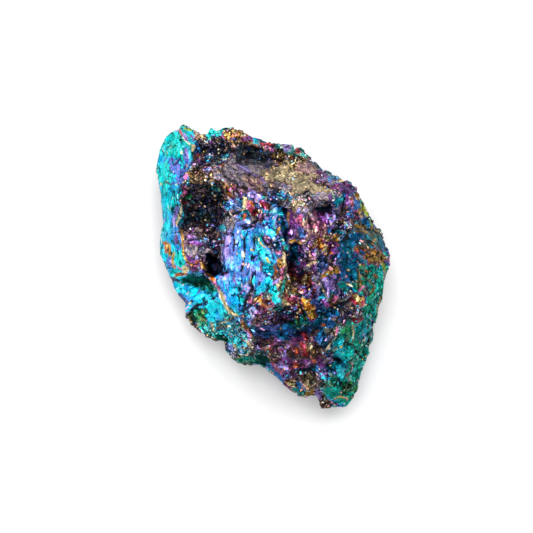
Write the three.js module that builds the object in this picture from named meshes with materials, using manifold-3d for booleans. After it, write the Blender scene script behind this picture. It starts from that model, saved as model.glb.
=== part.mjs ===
// A hand specimen of peacock ore: one lozenge-shaped lump of tarnished copper ore, broken off its
// vein along rough fracture faces. It lies on a small flat spot. Millimetres, +Z up; the origin is
// on the resting face, under the middle of the stone's bounding box, and +Y is its long way.
//
// The form is drawn first as a coarse cage of crests, ledges and hollows. The cage's facets are
// then divided into small triangles, roughened into chips, and crystal grains are fused on.

import * as THREE from "three";
import { ImprovedNoise } from "three/addons/math/ImprovedNoise.js";
import { mergeVertices } from "three/addons/utils/BufferGeometryUtils.js";
import Module from "manifold-3d";

// ---- Driving dimensions ----

const SIZE = { width: 37.2, length: 45.2, height: 22 };
const DRAWN = { width: 37.2, length: 45.2, height: 22 }; // the size that the tables below are drawn at

const UPPER_EDGE = 1.5; // longest triangle edge above the stone's rim
const UNDER_EDGE = 2.6; // and below it
const SHOULDER = 1.8; // how far the slopes between the rim and the summit bulge upward
const FLANK = { inset: 1.3, drop: 0.48 }; // below the rim the side falls steeply, by this share of its height
const CHIPS = [
  { size: 5.2, tilt: 0.17 }, // broad fracture faces
  { size: 2.6, tilt: 0.18 }, // the chips on them
];
const LUMPS = { size: 3.0, height: 0.3 };
const FOOT_FADE = 1.6; // the roughening dies out over this height above the resting face

// ---- The cage: [x, y, z] points ----

// The rim is the stone's outline seen from above, clockwise from the spur at the back left.
const RIM = [
  [-14.2, 22.7, 8.2], [-12.3, 22.3, 7.2], [-10.7, 21.5, 7.4], [-9.1, 21.4, 9.6], [-6.8, 22.0, 10.4],
  [-5.2, 21.1, 9.6], [-4.0, 20.5, 8.2], [-1.4, 20.3, 7.2], [2.4, 19.0, 7.8], [4.6, 19.1, 9.2],
  [6.3, 17.3, 9.6], [8.3, 15.3, 8.2], [10.4, 14.6, 7.4], [11.7, 13.9, 8.2], [13.4, 12.8, 9.8],
  [14.2, 11.0, 10.2], [14.7, 9.0, 9.2], [15.9, 7.3, 7.8], [17.4, 5.8, 6.8], [18.6, 2.9, 6.6],
  [18.9, 1.4, 7.2], [18.3, -1.6, 8.0], [17.5, -5.0, 7.0], [16.5, -9.6, 5.0], [16.3, -12.0, 4.4],
  [14.5, -15.7, 4.8], [14.4, -18.7, 5.6], [13.1, -21.1, 5.0], [11.6, -22.6, 4.2], [9.2, -23.1, 4.4],
  [6.9, -21.9, 5.2], [5.2, -21.3, 5.6], [3.2, -20.2, 4.6], [0.9, -17.2, 4.0], [-2.0, -15.4, 4.8],
  [-3.5, -16.4, 4.8], [-5.8, -15.7, 4.0], [-7.5, -13.7, 3.6], [-7.9, -12.0, 4.2], [-10.7, -11.2, 4.8],
  [-12.6, -10.1, 4.2], [-14.1, -8.1, 3.8], [-14.2, -5.9, 4.4], [-15.8, -3.0, 5.6], [-16.5, -1.0, 5.8],
  [-17.4, 0.2, 5.2], [-18.3, 4.0, 5.0], [-17.7, 6.8, 5.8], [-17.8, 11.4, 6.8], [-18.6, 15.4, 6.4],
  [-18.3, 18.9, 5.8], [-17.0, 20.9, 6.6], [-15.6, 22.3, 7.8],
];

const UPPER_SIDE = {
  leftFace: [[-15.6, 18.7, 11.0], [-16.2, 14.4, 10.8], [-16.3, 9.5, 10.0], [-16.5, 4.4, 9.4]],
  leftCrest: [
    [-14.6, 21.2, 10.4], [-12.9, 19.1, 12.8], [-12.9, 17.0, 13.4], [-13.5, 14.6, 13.6],
    [-13.9, 12.1, 13.2], [-14.3, 10.1, 13.0], [-15.1, 6.6, 12.4], [-14.3, 3.9, 12.0],
    [-13.6, 1.4, 11.6],
  ],
  spurFacet: [[-11.8, 20.3, 10.2]],
  backCrest: [
    [-9.6, 20.5, 12.2], [-6.4, 20.7, 13.8], [-4.4, 19.8, 13.4], [-1.4, 18.9, 12.6],
    [1.8, 18.4, 12.2], [4.1, 17.7, 12.2],
  ],
  backTrough: [
    [-11.3, 18.4, 10.2], [-8.5, 17.9, 10.4], [-5.9, 18.2, 13.2], [-4.1, 17.4, 10.9],
    [-1.2, 17.0, 11.4], [2.2, 16.7, 12.6],
  ],
  shelfBackEdge: [
    [-11.9, 15.3, 13.0], [-8.2, 15.4, 14.3], [-5.4, 16.0, 15.0], [-2.3, 14.9, 15.2],
    [0.8, 15.2, 15.3], [4.1, 15.7, 15.2], [6.8, 14.6, 13.8],
  ],
  shelf: [
    [-12.5, 12.9, 13.6], [-9.9, 12.5, 14.6], [-7.2, 12.1, 15.8], [-5.1, 11.9, 16.8],
    [-2.7, 12.9, 17.0], [0.4, 12.7, 17.8], [3.5, 12.7, 18.4], [6.5, 12.5, 17.2],
    [8.9, 12.4, 15.4], [0.6, 10.3, 19.6],
  ],
  darkHollow: [
    [-13.2, 10.6, 9.6], [-10.5, 10.8, 8.8], [-8.6, 10.5, 10.0], [-13.8, 7.3, 9.4],
    [-11.1, 7.8, 8.4], [-8.9, 7.5, 9.4],
  ],
  leftBlock: [
    [-13.3, 5.3, 11.6], [-11.1, 5.1, 12.0], [-9.3, 4.7, 11.2], [-12.4, 2.5, 12.7],
    [-10.0, 2.5, 12.2], [-13.0, 0.5, 11.7], [-11.0, 0.6, 11.8],
  ],
  blockLedge: [
    [-15.9, 1.7, 9.4], [-15.7, -0.7, 9.0], [-14.0, -0.9, 10.4], [-12.2, -0.7, 11.0],
    [-10.4, -1.3, 11.4],
  ],
  ledgeFoot: [[-14.6, -2.1, 7.6], [-12.4, -2.8, 7.8], [-10.2, -3.1, 9.0]],
  deepPit: [[-9.3, -0.3, 7.4], [-8.9, 1.5, 8.2]],
  blueFaceLeftEdge: [
    [-7.9, -0.7, 12.9], [-7.7, 1.3, 13.4], [-7.9, 3.5, 13.9], [-7.7, 6.0, 14.4], [-8.0, 8.7, 14.2],
  ],
  blueFaceTop: [
    [-6.5, 10.4, 15.2], [-4.4, 10.3, 17.4], [-3.1, 11.2, 18.6], [-1.7, 9.2, 19.6],
    [0.1, 8.3, 20.2],
  ],
  blueFace: [
    [-5.0, 6.2, 16.3], [-4.8, 1.9, 15.9], [-5.4, -2.7, 15.0], [-2.1, 4.2, 19.0], [-1.9, -0.6, 18.2],
    [-3.7, -5.0, 15.4], [-1.5, -4.2, 17.2], [-2.3, -7.5, 15.6],
  ],
  summitCrest: [
    [1.0, 6.1, 20.9], [1.6, 3.8, 21.2], [1.9, 1.3, 21.0], [1.3, -1.5, 20.3], [1.0, -3.8, 19.2],
    [0.3, -6.1, 17.6],
  ],
  goldRidge: [
    [-9.3, -2.1, 12.8], [-8.3, -4.0, 13.7], [-7.3, -6.1, 14.1], [-5.8, -7.7, 14.3],
    [-4.6, -9.1, 14.1], [-3.8, -10.9, 13.2], [-3.2, -12.6, 12.0],
  ],
  lowerLeftFace: [
    [-13.4, -4.8, 7.2], [-11.2, -7.2, 7.6], [-9.5, -5.1, 10.0], [-8.4, -8.7, 8.6],
    [-6.0, -10.9, 8.8], [-4.8, -13.4, 7.6],
  ],
  cleft: [[1.5, 8.3, 18.8], [2.6, 6.0, 18.6], [3.5, 1.2, 17.2], [3.1, -2.3, 16.6], [2.3, -4.7, 17.0]],
  goldLump: [[3.0, 4.0, 20.6]],
  columns: [
    [3.4, 10.0, 19.4], [4.6, 7.9, 19.8], [5.4, 5.2, 19.6], [5.6, 2.5, 19.2], [6.3, -0.8, 18.4],
    [6.6, -3.7, 17.2], [8.1, 5.8, 17.4], [7.7, 1.9, 17.0], [8.8, -1.5, 17.4], [8.7, -4.4, 16.6],
    [10.4, 7.3, 16.2], [10.6, 3.5, 15.4], [11.7, 0.4, 14.0], [11.9, -2.7, 13.8],
  ],
  overhang: [
    [6.1, 11.0, 19.0], [8.4, 10.9, 18.4], [6.9, 9.6, 18.4], [8.9, 9.6, 17.4], [7.3, 8.8, 15.6],
    [9.2, 8.7, 15.2],
  ],
  rightCrest: [
    [10.0, 12.7, 14.2], [11.5, 11.6, 13.8], [12.5, 9.0, 13.8], [13.3, 6.0, 13.8], [14.1, 2.5, 13.2],
    [14.4, -1.0, 12.8], [14.0, -4.0, 13.0], [13.3, -6.8, 12.4], [12.6, -9.4, 12.2],
    [12.4, -12.2, 11.2],
  ],
  rightFace: [
    [16.0, 3.5, 11.0], [16.2, -0.8, 10.4], [15.6, -4.9, 9.8], [14.8, -9.7, 9.2],
    [13.9, -13.3, 8.6],
  ],
  scallopEdge: [
    [4.4, -6.4, 16.6], [6.4, -5.7, 16.4], [8.5, -6.2, 15.8], [10.5, -5.6, 15.0],
    [12.2, -4.7, 14.2],
  ],
  scallopFoot: [
    [5.3, -8.0, 13.8], [7.2, -7.3, 13.6], [9.0, -7.3, 13.2], [10.9, -6.7, 12.8],
    [12.6, -5.8, 13.0],
  ],
  navyValley: [
    [1.6, -7.6, 15.0], [-2.1, -9.9, 13.4], [0.4, -10.4, 12.8], [3.1, -10.6, 12.6],
    [6.3, -9.8, 12.6],
  ],
  magentaLump: [
    [-1.8, -12.3, 12.6], [0.8, -12.5, 13.2], [3.5, -12.3, 13.8], [5.7, -12.9, 13.4],
    [1.2, -14.6, 11.6], [4.1, -15.2, 12.0], [6.5, -15.0, 11.4],
  ],
  lowerStep: [[2.6, -16.9, 8.4], [4.6, -17.2, 8.6], [6.1, -18.3, 9.6], [5.6, -19.7, 7.6]],
  frontNotch: [[-1.7, -14.2, 8.6], [0.6, -15.8, 8.6], [2.4, -18.3, 7.0]],
  whiteFleckCrest: [
    [9.8, -9.2, 12.9], [9.1, -11.9, 12.6], [8.0, -14.3, 11.6], [7.7, -17.0, 10.6], [8.1, -19.3, 9.0],
  ],
  frontFace: [[11.3, -15.2, 10.2], [11.2, -19.0, 9.4], [9.5, -21.1, 8.0]],
};

const UNDER_SIDE = [
  [-13.0, 16.0, 2.6], [-8.5, 17.2, 3.2], [-3.0, 15.8, 2.6], [3.0, 14.4, 2.2], [7.6, 10.8, 2.6],
  [12.0, 6.8, 2.2], [13.6, 1.0, 1.9], [12.8, -5.0, 1.6], [11.4, -11.0, 1.3], [10.2, -17.2, 1.9],
  [6.2, -16.6, 1.4], [2.0, -12.8, 1.1], [-4.4, -11.2, 0.9], [-9.2, -7.2, 1.0], [-12.4, -2.0, 1.4],
  [-14.0, 4.2, 1.5], [-14.0, 10.4, 1.8], [-10.8, 12.6, 1.1], [-6.6, 11.6, 0.8], [1.0, 11.6, 0.9],
  [8.4, 6.2, 0.8], [9.4, -8.4, 0.6],
];
const FOOT = [
  [-7.6, 7.0], [-2.0, 9.0], [5.2, 7.2], [9.2, 1.4], [8.4, -6.0], [3.4, -9.4], [-4.0, -7.4], [-8.8, -1.0],
];

// Clusters of crystal grains that stand out of the stone. Each grain is a small icosahedron.
const GRAINS = [
  { name: "gold nubs on the back crest", at: [-6.2, 20.8], spread: [1.5, 0.7], count: 12, radius: 0.55 },
  { name: "gold knob beside the summit", at: [2.9, 4.0], spread: [0.6, 0.4], count: 4, radius: 0.5 },
  { name: "gold grains on the scallop", at: [5.4, -6.6], spread: [0.8, 1.0], count: 12, radius: 0.4 },
  { name: "crystal on the blue face's top", at: [-3.3, 10.9], spread: [0.7, 0.9], count: 3, radius: 0.95 },
  { name: "grains on the right crest", at: [13.4, -5.4], spread: [0.6, 0.7], count: 7, radius: 0.45 },
];
// The stone broke cleanly here, so these faces carry less of the roughening. Paths seen from above.
const CLEAN_FACES = [
  { name: "blue face", path: [[-6.0, 8.0], [-5.2, 2.0], [-5.0, -3.6], [-2.6, -6.4]], radius: 3.4 },
  { name: "left face", path: [[-16.4, 20.0], [-16.2, 12.0], [-16.6, 4.6]], radius: 1.8 },
  { name: "lower left face", path: [[-13.0, -4.6], [-11.2, -7.4], [-8.4, -9.6]], radius: 2.6 },
  { name: "shelf", path: [[-8.4, 14.6], [-2.4, 14.2], [4.0, 13.8], [7.6, 13.2]], radius: 2.2 },
  { name: "right face", path: [[16.2, 4.0], [16.0, -4.0], [14.4, -11.0], [12.6, -17.6]], radius: 2.2 },
];
const CLEAN_SHARE = 0.35; // the share of the roughening that is left on them
const CLEAN_FADE = 1.6; // how far outside a clean face the full roughening is reached

const GRAIN_SINK = 0.25; // how far a grain's middle lies under the surface, as a share of its radius

// ---- Making the cage ----

const SHOULDER_FOOT = 8; // the bulge starts at this drawn height

function toSize([x, y, z = 0]) {
  const rise = THREE.MathUtils.clamp((z - SHOULDER_FOOT) / (DRAWN.height - SHOULDER_FOOT), 0, 1);
  return new THREE.Vector3(
    (x * SIZE.width) / DRAWN.width,
    (y * SIZE.length) / DRAWN.length,
    ((z + SHOULDER * Math.sin(Math.PI * rise)) * SIZE.height) / DRAWN.height,
  );
}

const toPlan = ([x, y]) => toSize([x, y]).setZ(0);

// True if the circle through triangle a, b, c, seen from above, holds p.
function inCircumcircle(p, a, b, c) {
  const [ax, ay, bx, by] = [a.x - p.x, a.y - p.y, b.x - p.x, b.y - p.y];
  const [cx, cy] = [c.x - p.x, c.y - p.y];
  const a2 = ax * ax + ay * ay;
  const b2 = bx * bx + by * by;
  const c2 = cx * cx + cy * cy;
  return ax * (by * c2 - b2 * cy) - ay * (bx * c2 - b2 * cx) + a2 * (bx * cy - by * cx) > 0;
}

// Delaunay triangles of the points seen from above, anticlockwise, as triples of indices.
function delaunay(points) {
  const far = 1000;
  const all = [...points, ...[[-far, -far], [far, -far], [0, far]].map(toSize)];
  const n = points.length;
  let triangles = [[n, n + 1, n + 2]];
  for (let i = 0; i < n; i++) {
    const hit = triangles.filter(([a, b, c]) => inCircumcircle(all[i], all[a], all[b], all[c]));
    const sides = new Map();
    for (const [a, b, c] of hit)
      for (const [p, q] of [[a, b], [b, c], [c, a]]) {
        if (sides.has(`${q},${p}`)) sides.delete(`${q},${p}`);
        else sides.set(`${p},${q}`, [p, q]);
      }
    triangles = triangles.filter((t) => !hit.includes(t));
    for (const [p, q] of sides.values()) triangles.push([p, q, i]);
  }
  return triangles.filter((t) => t.every((i) => i < n));
}

// True if (x, y) is inside the rim.
function insideRim(x, y, rim) {
  let inside = false;
  rim.forEach((a, i) => {
    const b = rim[(i + 1) % rim.length];
    if (a.y > y !== b.y > y && x < a.x + ((b.x - a.x) * (y - a.y)) / (b.y - a.y)) inside = !inside;
  });
  return inside;
}

// One side of the stone as triangles over the rim and that side's own points.
function sideOf(rim, inner) {
  const points = [...rim, ...inner];
  const triangles = delaunay(points).filter(([a, b, c]) => {
    const x = (points[a].x + points[b].x + points[c].x) / 3;
    const y = (points[a].y + points[b].y + points[c].y) / 3;
    return insideRim(x, y, rim);
  });
  return triangles.map((t) => t.map((i) => points[i]));
}

// A point a little inside every second rim point and well below it.
function flankOf(rim) {
  return rim
    .filter((point, i) => i % 2 === 0)
    .map((p) => {
      const inward = new THREE.Vector3(-p.x, -p.y, 0).setLength(FLANK.inset);
      return p.clone().add(inward).setZ(p.z * (1 - FLANK.drop));
    });
}

function makeCage() {
  const rim = RIM.map(toSize);
  const upper = sideOf(rim, Object.values(UPPER_SIDE).flat().map(toSize));
  const under = sideOf(rim, [...flankOf(rim), ...[...UNDER_SIDE, ...FOOT].map(toSize)]);
  return [...upper, ...under.map(([a, b, c]) => [a, c, b])];
}

// ---- Dividing and roughening ----

const keyOf = (p) => `${p.x.toFixed(4)},${p.y.toFixed(4)},${p.z.toFixed(4)}`;

// Halves every edge that is too long, until none is. Neighbours share their edges' middles.
function divide(triangles) {
  const rimHeight = toSize([0, 0, 7]).z;
  const tooLong = (a, b) => a.distanceTo(b) > ((a.z + b.z) / 2 > rimHeight ? UPPER_EDGE : UNDER_EDGE);
  const middle = (a, b) => (keyOf(a) < keyOf(b) ? a.clone().lerp(b, 0.5) : b.clone().lerp(a, 0.5));
  for (let again = true; again; ) {
    again = false;
    triangles = triangles.flatMap((t) => {
      // The triangle is turned so that its longest edge runs from a to b.
      const lengths = [0, 1, 2].map((i) => t[i].distanceTo(t[(i + 1) % 3]));
      const first = lengths.indexOf(Math.max(...lengths));
      const [a, b, c] = [t[first], t[(first + 1) % 3], t[(first + 2) % 3]];
      if (!tooLong(a, b) && !tooLong(b, c) && !tooLong(c, a)) return [t];
      again = true;
      const [ab, bc, ca] = [[a, b], [b, c], [c, a]].map(([p, q]) => (tooLong(p, q) ? middle(p, q) : null));
      if (ab && bc && ca) return [[a, ab, ca], [ab, b, bc], [ca, bc, c], [ab, bc, ca]];
      if (ab && bc) return [[a, ab, c], [ab, b, bc], [ab, bc, c]];
      if (ab && ca) return [[ab, b, c], [a, ab, ca], [ab, c, ca]];
      if (bc && ca) return [[a, b, bc], [a, bc, ca], [bc, c, ca]];
      if (ab) return [[a, ab, c], [ab, b, c]];
      if (bc) return [[a, b, bc], [a, bc, c]];
      return [[a, b, ca], [b, c, ca]];
    });
  }
  return triangles;
}

function geometryOf(triangles) {
  const positions = triangles.flat().flatMap((p) => [p.x, p.y, p.z]);
  const loose = new THREE.BufferGeometry();
  loose.setAttribute("position", new THREE.Float32BufferAttribute(positions, 3));
  const geometry = mergeVertices(loose, 1e-3);
  geometry.computeVertexNormals();
  return geometry;
}

// A repeatable pseudo-random number from 0 to 1 for a lattice cell.
function cellRandom(i, j, k, salt) {
  const s = Math.sin(i * 127.1 + j * 311.7 + k * 74.7 + salt * 53.3) * 43758.5453;
  return s - Math.floor(s);
}

// Each cell of a jittered lattice is a chip: a plane through the cell's seed, tilted its own way.
function chipHeight(p, { size, tilt }) {
  const [x, y, z] = [p.x / size, p.y / size, p.z / size];
  let best = { distance: Infinity, height: 0 };
  for (let i = Math.floor(x) - 1; i <= Math.floor(x) + 1; i++)
    for (let j = Math.floor(y) - 1; j <= Math.floor(y) + 1; j++)
      for (let k = Math.floor(z) - 1; k <= Math.floor(z) + 1; k++) {
        const away = [0, 1, 2].map((axis) => [x - i, y - j, z - k][axis] - cellRandom(i, j, k, axis));
        const distance = Math.hypot(...away);
        if (distance >= best.distance) continue;
        const slope = [3, 4, 5].map((salt) => 2 * cellRandom(i, j, k, salt) - 1);
        best = { distance, height: size * tilt * away.reduce((sum, v, axis) => sum + v * slope[axis], 0) };
      }
  return best.height;
}

function distanceToPath(x, y, path) {
  const place = new THREE.Vector3(x, y, 0);
  const nearest = new THREE.Vector3();
  const gaps = path.slice(1).map((end, i) => {
    new THREE.Line3(toPlan(path[i]), toPlan(end)).closestPointToPoint(place, true, nearest);
    return nearest.distanceTo(place);
  });
  return Math.min(...gaps);
}

// The share of the roughening that a place carries, seen from above.
function shareAt(p) {
  const clean = CLEAN_FACES.map(({ path, radius }) => {
    const outside = distanceToPath(p.x, p.y, path) - radius;
    return THREE.MathUtils.smoothstep(outside, -CLEAN_FADE / 2, CLEAN_FADE / 2);
  });
  return THREE.MathUtils.lerp(CLEAN_SHARE, 1, Math.min(...clean));
}

function roughen(geometry) {
  const noise = new ImprovedNoise();
  const { position, normal } = geometry.attributes;
  const [p, n] = [new THREE.Vector3(), new THREE.Vector3()];
  for (let i = 0; i < position.count; i++) {
    p.fromBufferAttribute(position, i);
    n.fromBufferAttribute(normal, i);
    const chips = CHIPS.reduce((sum, chip) => sum + chipHeight(p, chip), 0);
    const { size, height } = LUMPS;
    const lumps = height * noise.noise(p.x / size, p.y / size, p.z / size);
    const fade = THREE.MathUtils.smoothstep(p.z, 0, FOOT_FADE);
    p.addScaledVector(n, (chips + lumps) * fade * shareAt(p));
    position.setXYZ(i, p.x, p.y, Math.max(p.z, 0));
  }
  return geometry;
}

// ---- Grains, and the finished stone ----

const wasm = await Module();
wasm.setup();

function solidOf(geometry) {
  const bare = geometry.clone();
  bare.deleteAttribute("normal");
  bare.deleteAttribute("uv");
  const { attributes, index } = mergeVertices(bare, 1e-3);
  return new wasm.Manifold(
    new wasm.Mesh({
      numProp: 3,
      vertProperties: new Float32Array(attributes.position.array),
      triVerts: new Uint32Array(index.array),
    }),
  );
}

function geometryFrom(solid) {
  const mesh = solid.getMesh();
  const geometry = new THREE.BufferGeometry();
  geometry.setAttribute("position", new THREE.Float32BufferAttribute(mesh.vertProperties, 3));
  geometry.setIndex(new THREE.BufferAttribute(mesh.triVerts, 1));
  return geometry;
}

// One grain, turned its own way and sunk a little into the surface straight below its place.
function grainAt(x, y, radius, turn, surface) {
  const ray = new THREE.Raycaster(new THREE.Vector3(x, y, 2 * SIZE.height), new THREE.Vector3(0, 0, -1));
  const hit = ray.intersectObject(surface)[0];
  if (!hit) return null;
  const grain = new THREE.IcosahedronGeometry(radius, 0);
  grain.rotateX(turn);
  grain.rotateZ(2 * turn);
  grain.translate(x, y, hit.point.z - GRAIN_SINK * radius);
  return grain;
}

function addGrains(stone) {
  const surface = new THREE.Mesh(stone);
  let solid = solidOf(stone);
  GRAINS.forEach(({ at, spread, count, radius }, cluster) => {
    const middle = toSize(at);
    for (let i = 0; i < count; i++) {
      const [r, angle] = [Math.sqrt((i + 0.5) / count), i * 2.4]; // a sunflower spread
      const x = middle.x + spread[0] * r * Math.cos(angle);
      const y = middle.y + spread[1] * r * Math.sin(angle);
      const size = radius * (0.75 + 0.5 * cellRandom(i, cluster, 0, 6));
      const grain = grainAt(x, y, size, 6 * cellRandom(i, cluster, 0, 7), surface);
      if (grain) solid = solid.add(solidOf(grain));
    }
  });
  return geometryFrom(solid);
}

function centreOverOrigin(geometry) {
  geometry.computeBoundingBox();
  const { min, max } = geometry.boundingBox;
  return geometry.translate(-(min.x + max.x) / 2, -(min.y + max.y) / 2, -min.z);
}

function peacockOre() {
  const rough = roughen(geometryOf(divide(makeCage())));
  const material = new THREE.MeshStandardMaterial({ color: 0x2a7f96, roughness: 0.35, metalness: 0.8 });
  const mesh = new THREE.Mesh(centreOverOrigin(addGrains(rough)), material);
  mesh.name = "peacock_ore";
  return mesh;
}

const part = new THREE.Group();
part.add(peacockOre());
export default part;
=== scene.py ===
"""The tarnished skin of a lump of peacock ore, on a pale table in soft light.

The CAD stone is remeshed finely and its faces are broken into chips. Each vertex then carries how
thick the tarnish film is there, and the material turns that thickness into interference colours.
Painted light and shade brighten or darken these colours, and the material adds painted highlights on
ridges and painted glints on specks.
"""

import math
from dataclasses import dataclass

import bpy
import numpy as np
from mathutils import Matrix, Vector


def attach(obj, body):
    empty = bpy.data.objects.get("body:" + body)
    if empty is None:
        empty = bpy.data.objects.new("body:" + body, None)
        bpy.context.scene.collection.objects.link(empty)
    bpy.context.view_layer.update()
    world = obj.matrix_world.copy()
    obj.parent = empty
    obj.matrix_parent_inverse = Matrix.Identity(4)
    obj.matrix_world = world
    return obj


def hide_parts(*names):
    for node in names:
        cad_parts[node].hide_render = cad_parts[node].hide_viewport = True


MM = 0.001
STONE = "peacock_ore"

# ---- The view from above ----

PIXELS = 533  # the picture is square
MM_PER_PIXEL = 0.16
STONE_PIXEL = (274.0, 267.7)  # where the stone's middle is in the picture
LENS, SENSOR = 135.0, 36.0
EYE_DISTANCE = PIXELS * MM_PER_PIXEL * LENS / SENSOR  # mm
RIM_HEIGHT = 7.0  # mm, the height of the outline that the picture's scale is taken at

# ---- The fine surface ----

VOXEL = 0.245  # mm
FOOT_FADE = 1.2  # the roughening dies out over this height above the resting face
RIPPLE_SIZE, RIPPLE_HEIGHT = 0.7, 0.05
BLADE_STRETCH = 3.0  # how much longer than wide a blade-shaped chip is
GROOVE_WIDTH = 0.16  # as a share of the chips' size
WANDER_SIZE, WANDER = 1.6, 0.3  # how the chips' outlines wander
CRACK_DEPTH = 0.35
FINE, BROAD = 6, 30  # rounds of blurring, which reach about 0.4 mm and 1 mm


@dataclass
class Layer:
    """One size of chip that the surface is broken into, in millimetres."""

    size: float
    slope: float  # how steeply each chip's plane is tilted
    groove: float  # depth of the grooves between chips
    follows: bool  # whether these chips are blades where the stone is bladed
    salt: int


FACETS = Layer(3.0, 0.20, 0.14, False, 0)
FLAKES = Layer(1.25, 0.24, 0.14, True, 20)


def lattice_random(cell, salt):
    """A repeatable random number from 0 to 1 for each lattice cell. Each salt gives other numbers."""
    h = cell[..., 0] * 73856093 ^ cell[..., 1] * 19349663 ^ cell[..., 2] * 83492791 ^ salt * 2971215073
    h = (h ^ (h >> 13)) * 1274126177 & 0x7FFFFFFF
    h = (h ^ (h >> 15)) * 668265263 & 0x7FFFFFFF
    return h / 0x7FFFFFFF


def span(values, low, high):
    """0 at low, 1 at high, clamped."""
    return np.clip((values - low) / (high - low), 0, 1)


def smooth_noise(points, size, salt):
    """Smooth value noise from -1 to 1 with features of the given size."""
    p = points / size
    base = np.floor(p).astype(np.int64)
    t = p - base
    t = t * t * (3 - 2 * t)
    total = np.zeros(len(points))
    for corner in np.ndindex(2, 2, 2):
        weight = np.prod(np.where(corner, t, 1 - t), axis=1)
        total += weight * lattice_random(base + np.array(corner), salt)
    return total * 2 - 1


def chip_cells(points, size, salt):
    """Worley cells: (offset from the nearest seed, distance to the border, the seed's cell)."""
    p = points / size
    base = np.floor(p).astype(np.int64)
    nearest = np.full(len(points), np.inf)
    second = nearest
    offset = np.zeros_like(points)
    cell = np.zeros_like(base)
    for step in np.ndindex(3, 3, 3):
        here = base + np.array(step) - 1
        seed = here + np.stack([lattice_random(here, salt + axis) for axis in range(3)], axis=1)
        away = p - seed
        distance = np.linalg.norm(away, axis=1)
        closer = distance < nearest
        second = np.where(closer, nearest, np.minimum(second, distance))
        nearest = np.where(closer, distance, nearest)
        offset = np.where(closer[:, None], away, offset)
        cell = np.where(closer[:, None], here, cell)
    return offset * size, (second - nearest) * size, cell


def blade_place(points, angle, stretch):
    """The points turned so that X runs along the blades, and squeezed so that blades become round."""
    x, y, z = points.T
    c, s = np.cos(angle), np.sin(angle)
    return np.stack([(x * c + y * s) / stretch, y * c - x * s, z / stretch], axis=1)


class Chips:
    """A layer of chips at the given points, blade-shaped along angle where stretch is above 1."""

    def __init__(self, points, layer, angle, stretch):
        if not layer.follows:
            angle, stretch = np.zeros(len(points)), np.ones(len(points))
        wander = np.stack([smooth_noise(points, WANDER_SIZE, salt) for salt in (11, 12, 13)], axis=1)
        place = blade_place(points + WANDER * wander, angle, stretch)
        offset, border, self.cell = chip_cells(place, layer.size, layer.salt)
        tilt = np.stack([self.random(axis) for axis in range(3)], axis=1) * 2 - 1
        groove = np.exp(-border / (GROOVE_WIDTH * layer.size))
        self.height = layer.slope * (offset * tilt).sum(axis=1) - layer.groove * groove
        c, s = np.cos(angle), np.sin(angle)
        along = offset[:, 0] * stretch
        self.to_seed = np.stack([along * c - offset[:, 1] * s, along * s + offset[:, 1] * c], axis=1)

    def random(self, salt):
        """A number from 0 to 1 for each point's chip."""
        return lattice_random(self.cell, 900 + salt)


class Surface:
    """The remeshed stone as arrays, in millimetres."""

    def __init__(self, mesh):
        self.mesh = mesh
        n = len(mesh.vertices)
        self.points = np.empty(n * 3)
        mesh.vertices.foreach_get("co", self.points)
        self.points = self.points.reshape(n, 3) / MM
        edges = np.empty(len(mesh.edges) * 2, np.int64)
        mesh.edges.foreach_get("vertices", edges)
        self.edges = edges.reshape(-1, 2)
        self.degree = np.maximum(np.bincount(edges, minlength=n), 1)

    def write(self):
        """Moves the mesh's vertices to the points."""
        self.mesh.vertices.foreach_set("co", (self.points * MM).ravel())
        self.mesh.update()

    def normals(self):
        self.write()
        n = np.empty(len(self.points) * 3)
        self.mesh.vertex_normals.foreach_get("vector", n)
        return n.reshape(-1, 3)

    def blur(self, values, rounds):
        """Averages values with their neighbours' this many times."""
        a, b = self.edges.T
        for _ in range(rounds):
            columns = []
            for column in values.reshape(len(values), -1).T:
                total = np.bincount(a, column[b], len(column)) + np.bincount(b, column[a], len(column))
                columns.append(0.5 * column + 0.5 * total / self.degree)
            values = np.stack(columns, axis=1).reshape(values.shape)
        return values

    def relief(self, rounds):
        """How far each vertex stands out of its surroundings: above 0 on edges, below in creases."""
        return ((self.points - self.blur(self.points, rounds)) * self.normals()).sum(axis=1)


def fine_mesh(node):
    """A copy of the CAD node's mesh, remeshed with small even faces."""
    piece = bpy.data.objects.new("peacock_ore_surface", node.data.copy())
    bpy.context.scene.collection.objects.link(piece)
    bpy.context.view_layer.objects.active = piece
    piece.select_set(True)
    piece.data.remesh_voxel_size = VOXEL * MM
    piece.data.remesh_voxel_adaptivity = 0
    bpy.ops.object.voxel_remesh()
    return piece


def roughen(surface, layers, rough, cut):
    """Lifts and lowers the surface by its chips and cracks. Where rough is 0 it stays nearly smooth."""
    p = surface.points
    normals = surface.blur(surface.normals(), FINE)
    ripple = RIPPLE_HEIGHT * smooth_noise(p, RIPPLE_SIZE, 5)
    height = rough * (sum(layer.height for layer in layers) + ripple) - CRACK_DEPTH * cut
    height *= span(p[:, 2], 0, FOOT_FADE)
    surface.points = p + normals * height[:, None]
    surface.points[:, 2] = np.maximum(surface.points[:, 2], 0)


# ---- Where the tarnish is what, and where light and shade are painted on it ----

# The film's colours, by thickness from 0 to 1, and what each looks like (sRGB).
FILM = {
    "cream": (0.03, (0.97, 0.87, 0.64)),
    "gold": (0.10, (0.88, 0.66, 0.24)),
    "orange": (0.17, (0.90, 0.46, 0.16)),
    "crimson": (0.24, (0.80, 0.20, 0.30)),
    "pink": (0.31, (0.90, 0.46, 0.68)),
    "purple": (0.38, (0.60, 0.30, 0.70)),
    "lavender": (0.46, (0.68, 0.60, 0.94)),
    "periwinkle": (0.53, (0.42, 0.56, 0.97)),
    "azure": (0.60, (0.12, 0.62, 0.97)),
    "sky": (0.63, (0.06, 0.72, 0.94)),
    "cyan": (0.67, (0.06, 0.84, 0.94)),
    "turquoise": (0.74, (0.04, 0.84, 0.80)),
    "teal": (0.81, (0.03, 0.68, 0.62)),
    "emerald": (0.85, (0.04, 0.68, 0.50)),
    "green": (0.89, (0.14, 0.70, 0.40)),
    "lime": (0.95, (0.70, 0.80, 0.14)),
}


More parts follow.
